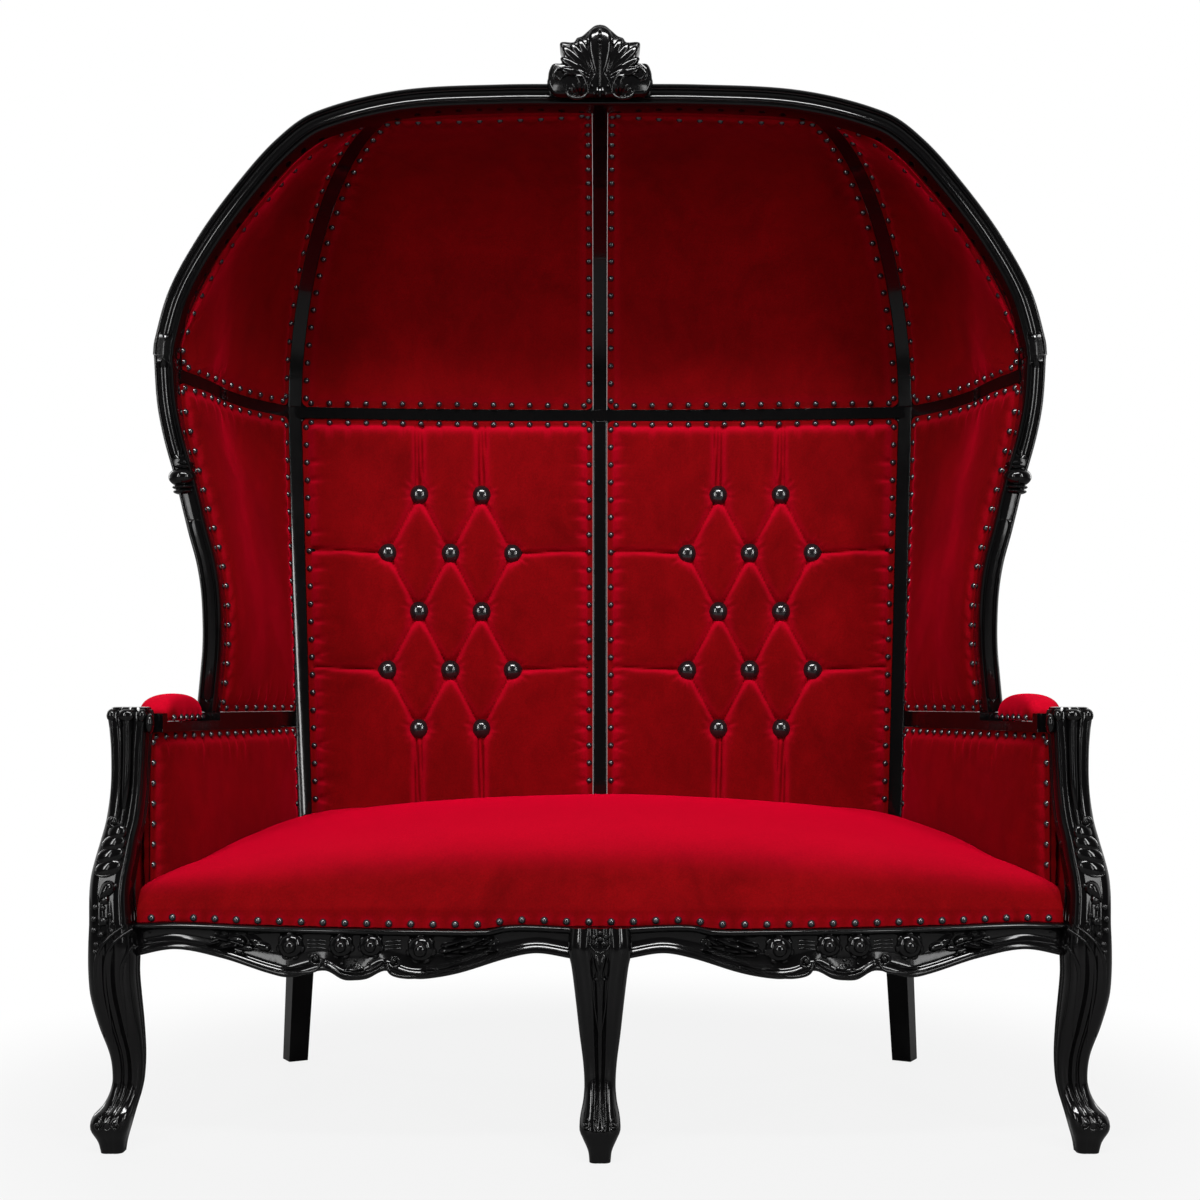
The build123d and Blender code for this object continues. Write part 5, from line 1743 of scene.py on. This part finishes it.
# The rail's section: depths behind its face, with drops from its top and then rises from its lower edge.
RAIL_UPPER = (
    (34, 0), (8, 0), (5.5, 0.2), (1.6, 1.4), (0, 3.8), (0.6, 6.6), (2.6, 8.4), (5.2, 9.6), (6.6, 13),
)
RAIL_LIP = (
    (6.6, 19), (4.9, 14.5), (2.6, 12.4), (3.4, 11), (1.6, 8.4), (0.2, 5.4), (0.6, 2.4), (3, 0.5), (6, 0),
    (34, 0),
)


class SETTEE_OT_front_rail(PieceOperator, bpy.types.Operator):
    """Waved front rail: bead above, cove, and a rolled lip along its lower edge"""

    bl_idname = "settee.front_rail"
    bl_label = "Front rail"

    def build(self):
        steps = 150
        rings = []
        for index in range(steps + 1):
            side = blend(RAIL_INNER, RAIL_OUTER, index / steps)
            top, face = rail_level(RAIL_WAVE, side), rail_bow(side)
            height = top - rail_level(RAIL_LOW, side)
            profile = [*RAIL_UPPER, (7.2, 0.5 * height), *((depth, height - up) for depth, up in RAIL_LIP)]
            rings.append([Vector((side, face + depth, top - drop)) * MM for depth, drop in profile])
        carving = Carving(run_of_rings("front_rail_carved", rings))
        for x, z, radius in ((447, 305.5, 21.5), (373, 306.5, 20), (329.5, 307.2, 19.5), (257, 303, 22.5)):
            carving.rosette(x, z, radius)
        carving.scroll(411, 288, 10.5, 1.2, 1, -math.pi * 0.9, 2.9, 1.6, True)
        carving.roll([(402, 283), (404, 275), (415, 270), (440, 267), (470, 270)], 2.6, 1.2, (0.9, 0.3))
        carving.scroll(296, 286, 11.5, 1.2, -1, math.pi * 1.9, 3.1, 1.6, True)
        row = [(306, 281), (304, 272), (292, 265), (265, 263), (232, 270), (200, 279)]
        carving.roll(row, 2.8, 1.2, (0.9, 0.3))
        for offset, thick in ((0.0, 2.2), (5.0, 1.4)):
            row = [(395, 281), (378, 268), (352, 262.5), (326, 268), (310, 280)]
            carving.roll([(x, z + offset) for x, z in row], thick, 1.0)
        carving.fan(352, 271, 90, 130, 5, 13, 7, 4, 1.2)
        carving.beads([(x, z, 5) for x, z in LAP_BEADS], 1.6)
        for first, last in ((395, 422), (309, 286)):
            for step in range(3):
                level = 315 - 5.5 * step
                row = [(first, level - 2), (blend(first, last, 0.5), level), (last, level - 0.5)]
                carving.roll(row, 2.0, 1.0, (0.5, 0.7))
        for x, z, turn, length, width in LEFT_SPRAY + RIGHT_SPRAY:
            carving.add("leaf", x, z, turn, length, width, 9, 0.6)
        carving.beads(SPRAY_BEADS, 1.0)
        for row in STEMS:
            carving.roll(row, 1.7, 1.4)
        rail = carving.finish("front_rail_carved")
        settle_pair(rail, "front_rail_carved", "lacquer", ["front_rail"])


class SETTEE_OT_bars(PieceOperator, bpy.types.Operator):
    """Plain bars of the frame, their edges eased"""

    bl_idname = "settee.bars"
    bl_label = "Bars"

    def build(self):
        for node in ("center_back_post", "back_mid_rail", "hood_rib_center", "back_seat_rail"):
            settle(self.eased(node, node), "lacquer", node)
        for node in ("side_mid_rail", "hood_rib", "side_seat_rail", "rear_post", "arm"):
            settle_pair(self.eased(node, f"{node}_right"), f"{node}_eased", "lacquer", [node])

    def eased(self, name, node):
        return finished_copy(f"{name}_eased", node, flat=0.05 if "hood" in node else 0.6)


# The crest's outline, as shares of its half width and its height.
CREST_EDGE = (
    (0.6, 0), (0.86, 0.02), (0.98, 0.16), (0.97, 0.24), (0.95, 0.34), (0.88, 0.44), (0.73, 0.45),
    (0.69, 0.55), (0.73, 0.66), (0.75, 0.72), (0.7, 0.755), (0.5, 0.75), (0.43, 0.81), (0.33, 0.84),
    (0.21, 0.918), (0.1, 0.983), (0, 1),
)
# The crest's right half. Petals: root, direction, length, width and height; rolls: places, radius and lift.
CREST_PETALS = (
    (9, 1640, 66, 60, 16, 8), (12, 1641, 54, 58, 15, 8), (14, 1640, 43, 62, 17, 8),
    (15, 1637, 30, 54, 15, 7), (16, 1633, 17, 48, 14, 7), (8, 1650, 78, 52, 12, 7),
)
CREST_BEADS = ((1704, 6), (1697, 7), (1689, 8), (1681, 6), (1667, 6), (1660, 5))
CREST_ROLLS = (
    (((66, 1647), (52, 1650), (38, 1647), (26, 1637), (19, 1620), (20, 1608)), 3.2, 1.0),
    (((61, 1633), (52, 1640), (42, 1640), (33, 1632), (28, 1618)), 2.8, 1.0),
    (((66, 1648), (72, 1641), (70, 1631), (62, 1630)), 3.4, 0.8),
    (((18, 1612), (24, 1603), (36, 1601), (48, 1603), (54, 1612), (52, 1624)), 2.6, 0.8),
    (((7, 1640), (15, 1628), (18, 1614)), 1.8, 0.8),
)


class SETTEE_OT_crest(PieceOperator, bpy.types.Operator):
    """Shell and leaf crest on the arch"""

    bl_idname = "settee.crest"
    bl_label = "Crest"

    def build(self):
        low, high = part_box("crest")
        rows = [(index, side, up) for index, (side, up) in enumerate(CREST_EDGE)]
        half = [curve_row(rows, step / 4) for step in range(4 * (len(rows) - 1) + 1)]
        outline = [(side, up) for side, up in half] + [(-side, up) for side, up in reversed(half[:-1])]
        rings = []
        for inset, depth in ((0.0, high.y), (0.0, low.y + 0.004), (0.02, low.y + 0.0016), (0.06, low.y)):
            ring = []
            for side, up in outline:
                level = CREST_FOOT + CREST_HEIGHT * (up * (1 - inset) + inset * 0.3)
                ring.append(Vector((CREST_HALF * MM * side * (1 - inset), depth, level * MM)))
            rings.append(ring)
        plate = run_of_rings("crest_plate", rings)
        smooth(plate, 50)
        carving = Carving(plate)
        carving.add("petal", 0, 1634, 90, 80, 50, 11, 0.2)
        carving.roll([(0, 1618), (0, 1635), (0, 1655), (0, 1690), (0, 1706)], 2.6, 6.5, (0.8, 0.6))
        carving.beads([(0, z, size) for z, size in CREST_BEADS], 8.5)
        for way in (1, -1):
            for x, z, turn, length, width, height in CREST_PETALS:
                carving.add("petal", way * x, z, turn if way > 0 else 180 - turn, length, width, height, 0.6)
            for row, thick, lift in CREST_ROLLS:
                carving.roll([(way * x, z) for x, z in row], thick, lift, (0.5, 0.5))
            carving.fan(way * 30, 1607, 90 - way * 35, 100, 6, 24, 7.5, 5, 1.0)
            carving.bead(way * 12.5, 1620, 5, 1.5)
        carving.fan(0, 1622, -90, 62, 3, 20, 6.5, 5, 1.5)
        settle(carving.finish("crest_carved"), "lacquer", "crest")


class SETTEE_OT_covers(PieceOperator, bpy.types.Operator):
    """Velvet on the outside of the back, hood, wings and arms"""

    bl_idname = "settee.covers"
    bl_label = "Outside covers"

    def build(self):
        for node in ("back_cover", "side_cover", "arm_cover", "hood_cover", "hood_side_cover"):
            piece = finished_copy(f"{node}_cloth", f"{node}_right", 1.0)
            settle_pair(piece, f"{node}_cloth", "outside_velvet", [node])


class SETTEE_OT_inside(PieceOperator, bpy.types.Operator):
    """Wood, webbing and cloth under the seat"""

    bl_idname = "settee.inside"
    bl_label = "Under the seat"

    def build(self):
        kinds = {"seat_brace": "bare_wood", "corner_blocks": "lacquer", "frame_dowels": "bare_wood"}
        for node, kind in kinds.items():
            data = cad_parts[node].data
            data.materials.clear()
            data.materials.append(finish_of(kind))
        for node, kind in (("seat_webbing", "webbing"), ("dust_cover", "dust_cloth")):
            settle(finished_copy(f"{node}_cloth", node, 0.3), kind, node)


# Stage.


# Lamps: name, place, the place each looks at, width and height in metres, and power in watts.
LAMPS = (
    ("strip_left", (-2.1, -2.9, 1.8), (0, 0, 0.8), (0.3, 2.2), 46),
    ("strip_right", (2.1, -2.9, 1.8), (0, 0, 0.8), (0.3, 2.2), 46),
    ("front_left", (-1.75, -4.0, 1.2), (0, 0, 0.8), (0.2, 1.8), 11),
    ("front_right", (1.75, -4.0, 1.2), (0, 0, 0.8), (0.2, 1.8), 11),
    ("top_front", (0, -2.0, 3.2), (0, 0.1, 0.8), (2.0, 0.35), 105),
    ("rim_left", (-2.6, 1.2, 1.8), (0, 0, 1.0), (0.4, 2.0), 18),
    ("rim_right", (2.6, 1.2, 1.8), (0, 0, 1.0), (0.4, 2.0), 18),
)
WORLD_STRENGTH = 0.2
WHITE = (1, 1, 1, 1)


def add_lamp(name, spot, aim, size, power):
    lamp = bpy.data.lights.new(name, "AREA")
    lamp.shape = "RECTANGLE"
    lamp.size, lamp.size_y = size
    lamp.energy = power
    holder = placed(name, lamp)
    holder.location = spot
    holder.rotation_euler = (Vector(aim) - Vector(spot)).to_track_quat("-Z", "Y").to_euler()


def light_world(scene):
    """White for the camera; gloss sees white behind the settee and a darker room in front of it."""
    scene.world = bpy.data.worlds.new("studio")
    scene.world.use_nodes = True
    nodes = Nodes(scene.world.node_tree)
    nodes.tree.nodes.remove(nodes.tree.nodes["Background"])
    camera, glossy, clear = (
        nodes.node("ShaderNodeLightPath", give=f"Is {kind} Ray")
        for kind in ("Camera", "Glossy", "Transmission")
    )
    way = nodes.node("ShaderNodeTexCoord", give="Generated")
    ahead = nodes.node("ShaderNodeSeparateXYZ", sockets={0: way}, give="Y")
    shown = nodes.step(ahead, -0.35, 0.25, 0.05, 1.0).larger(camera)
    lit, seen = (
        nodes.node("ShaderNodeBackground", sockets={"Color": WHITE, "Strength": strength})
        for strength in (WORLD_STRENGTH, shown)
    )
    sockets = {0: camera.larger(glossy).larger(clear), 1: lit, 2: seen}
    surface = nodes.node("ShaderNodeMixShader", sockets=sockets)
    nodes.feed(nodes.tree.nodes["World Output"].inputs["Surface"], surface)


def add_floor():
    """A pale floor that fades to white round the settee, for the camera alone."""
    unselect()
    bpy.ops.mesh.primitive_plane_add(size=14, location=(0, 0, 0))
    floor = bpy.context.object
    floor.name = "studio_floor"
    shade = Shade("studio_floor")
    color = finishes().floor
    shade.finish(
        Base_Color=shade.mix(shade.noise(3, 3), times(color, 0.99), color),
        Roughness=0.6,
        Specular_IOR_Level=0.2,
    )
    ray = shade.node("ShaderNodeLightPath", give="Is Camera Ray")
    reach = shade.node("ShaderNodeVectorMath", {"operation": "LENGTH"}, {0: shade.place}, "Value")
    near = shade.step(reach, 0.75, 1.5, 0.87, 1.0)
    glow = shade.node("ShaderNodeEmission", sockets={"Color": WHITE, "Strength": 1.0})
    sockets = {0: ray * near, 1: Wire(shade, shade.surface.outputs[0]), 2: glow}
    mixed = shade.node("ShaderNodeMixShader", sockets=sockets)
    shade.feed(shade.tree.nodes["Material Output"].inputs["Surface"], mixed)
    floor.data.materials.append(shade.material)


class SETTEE_OT_stage(PieceOperator, bpy.types.Operator):
    """Pale floor, soft lights and the camera"""

    bl_idname = "settee.stage"
    bl_label = "Stage"

    def build(self):
        scene = bpy.context.scene
        scene.view_settings.view_transform = "Standard"
        camera = bpy.data.cameras.new("camera")
        camera.lens = 52.62
        camera.sensor_width = 36
        camera.shift_y = 0.0833
        eye = placed("camera", camera)
        eye.location = (0, -2.866, 0.661)
        eye.rotation_euler = (math.pi / 2, 0, 0)
        scene.camera = eye
        for row in LAMPS:
            add_lamp(*row)
        light_world(scene)
        add_floor()


STEPS = (
    SETTEE_OT_stage, SETTEE_OT_arch, SETTEE_OT_posts, SETTEE_OT_legs, SETTEE_OT_front_rail, SETTEE_OT_bars,
    SETTEE_OT_crest, SETTEE_OT_covers, SETTEE_OT_inside, SETTEE_OT_back, SETTEE_OT_wings, SETTEE_OT_arm_walls,
    SETTEE_OT_hood, SETTEE_OT_seat, SETTEE_OT_arm_pads, SETTEE_OT_nails, SETTEE_OT_buttons,
)


class SETTEE_PT_steps(bpy.types.Panel):
    """Lists the settee's sizes, finishes and pieces"""

    bl_label = "Hooded settee"
    bl_space_type = "VIEW_3D"
    bl_region_type = "UI"
    bl_category = "Settee"

    def draw(self, context):
        for group in (context.scene.settee_sizes, context.scene.settee_finishes):
            box = self.layout.box()
            for key in group.__annotations__:
                box.prop(group, key)
        for step in STEPS:
            self.layout.operator(step.bl_idname)


CLASSES = (SetteeSizes, SetteeFinishes, *STEPS, SETTEE_PT_steps)


def register():
    for one in CLASSES:
        bpy.utils.register_class(one)
    bpy.types.Scene.settee_sizes = bpy.props.PointerProperty(type=SetteeSizes)
    bpy.types.Scene.settee_finishes = bpy.props.PointerProperty(type=SetteeFinishes)


def unregister():
    del bpy.types.Scene.settee_sizes
    del bpy.types.Scene.settee_finishes
    for one in reversed(CLASSES):
        bpy.utils.unregister_class(one)


def main():
    register()
    for step in STEPS:
        getattr(bpy.ops.settee, step.bl_idname.split(".")[1])()


if __name__ == "__main__":
    main()
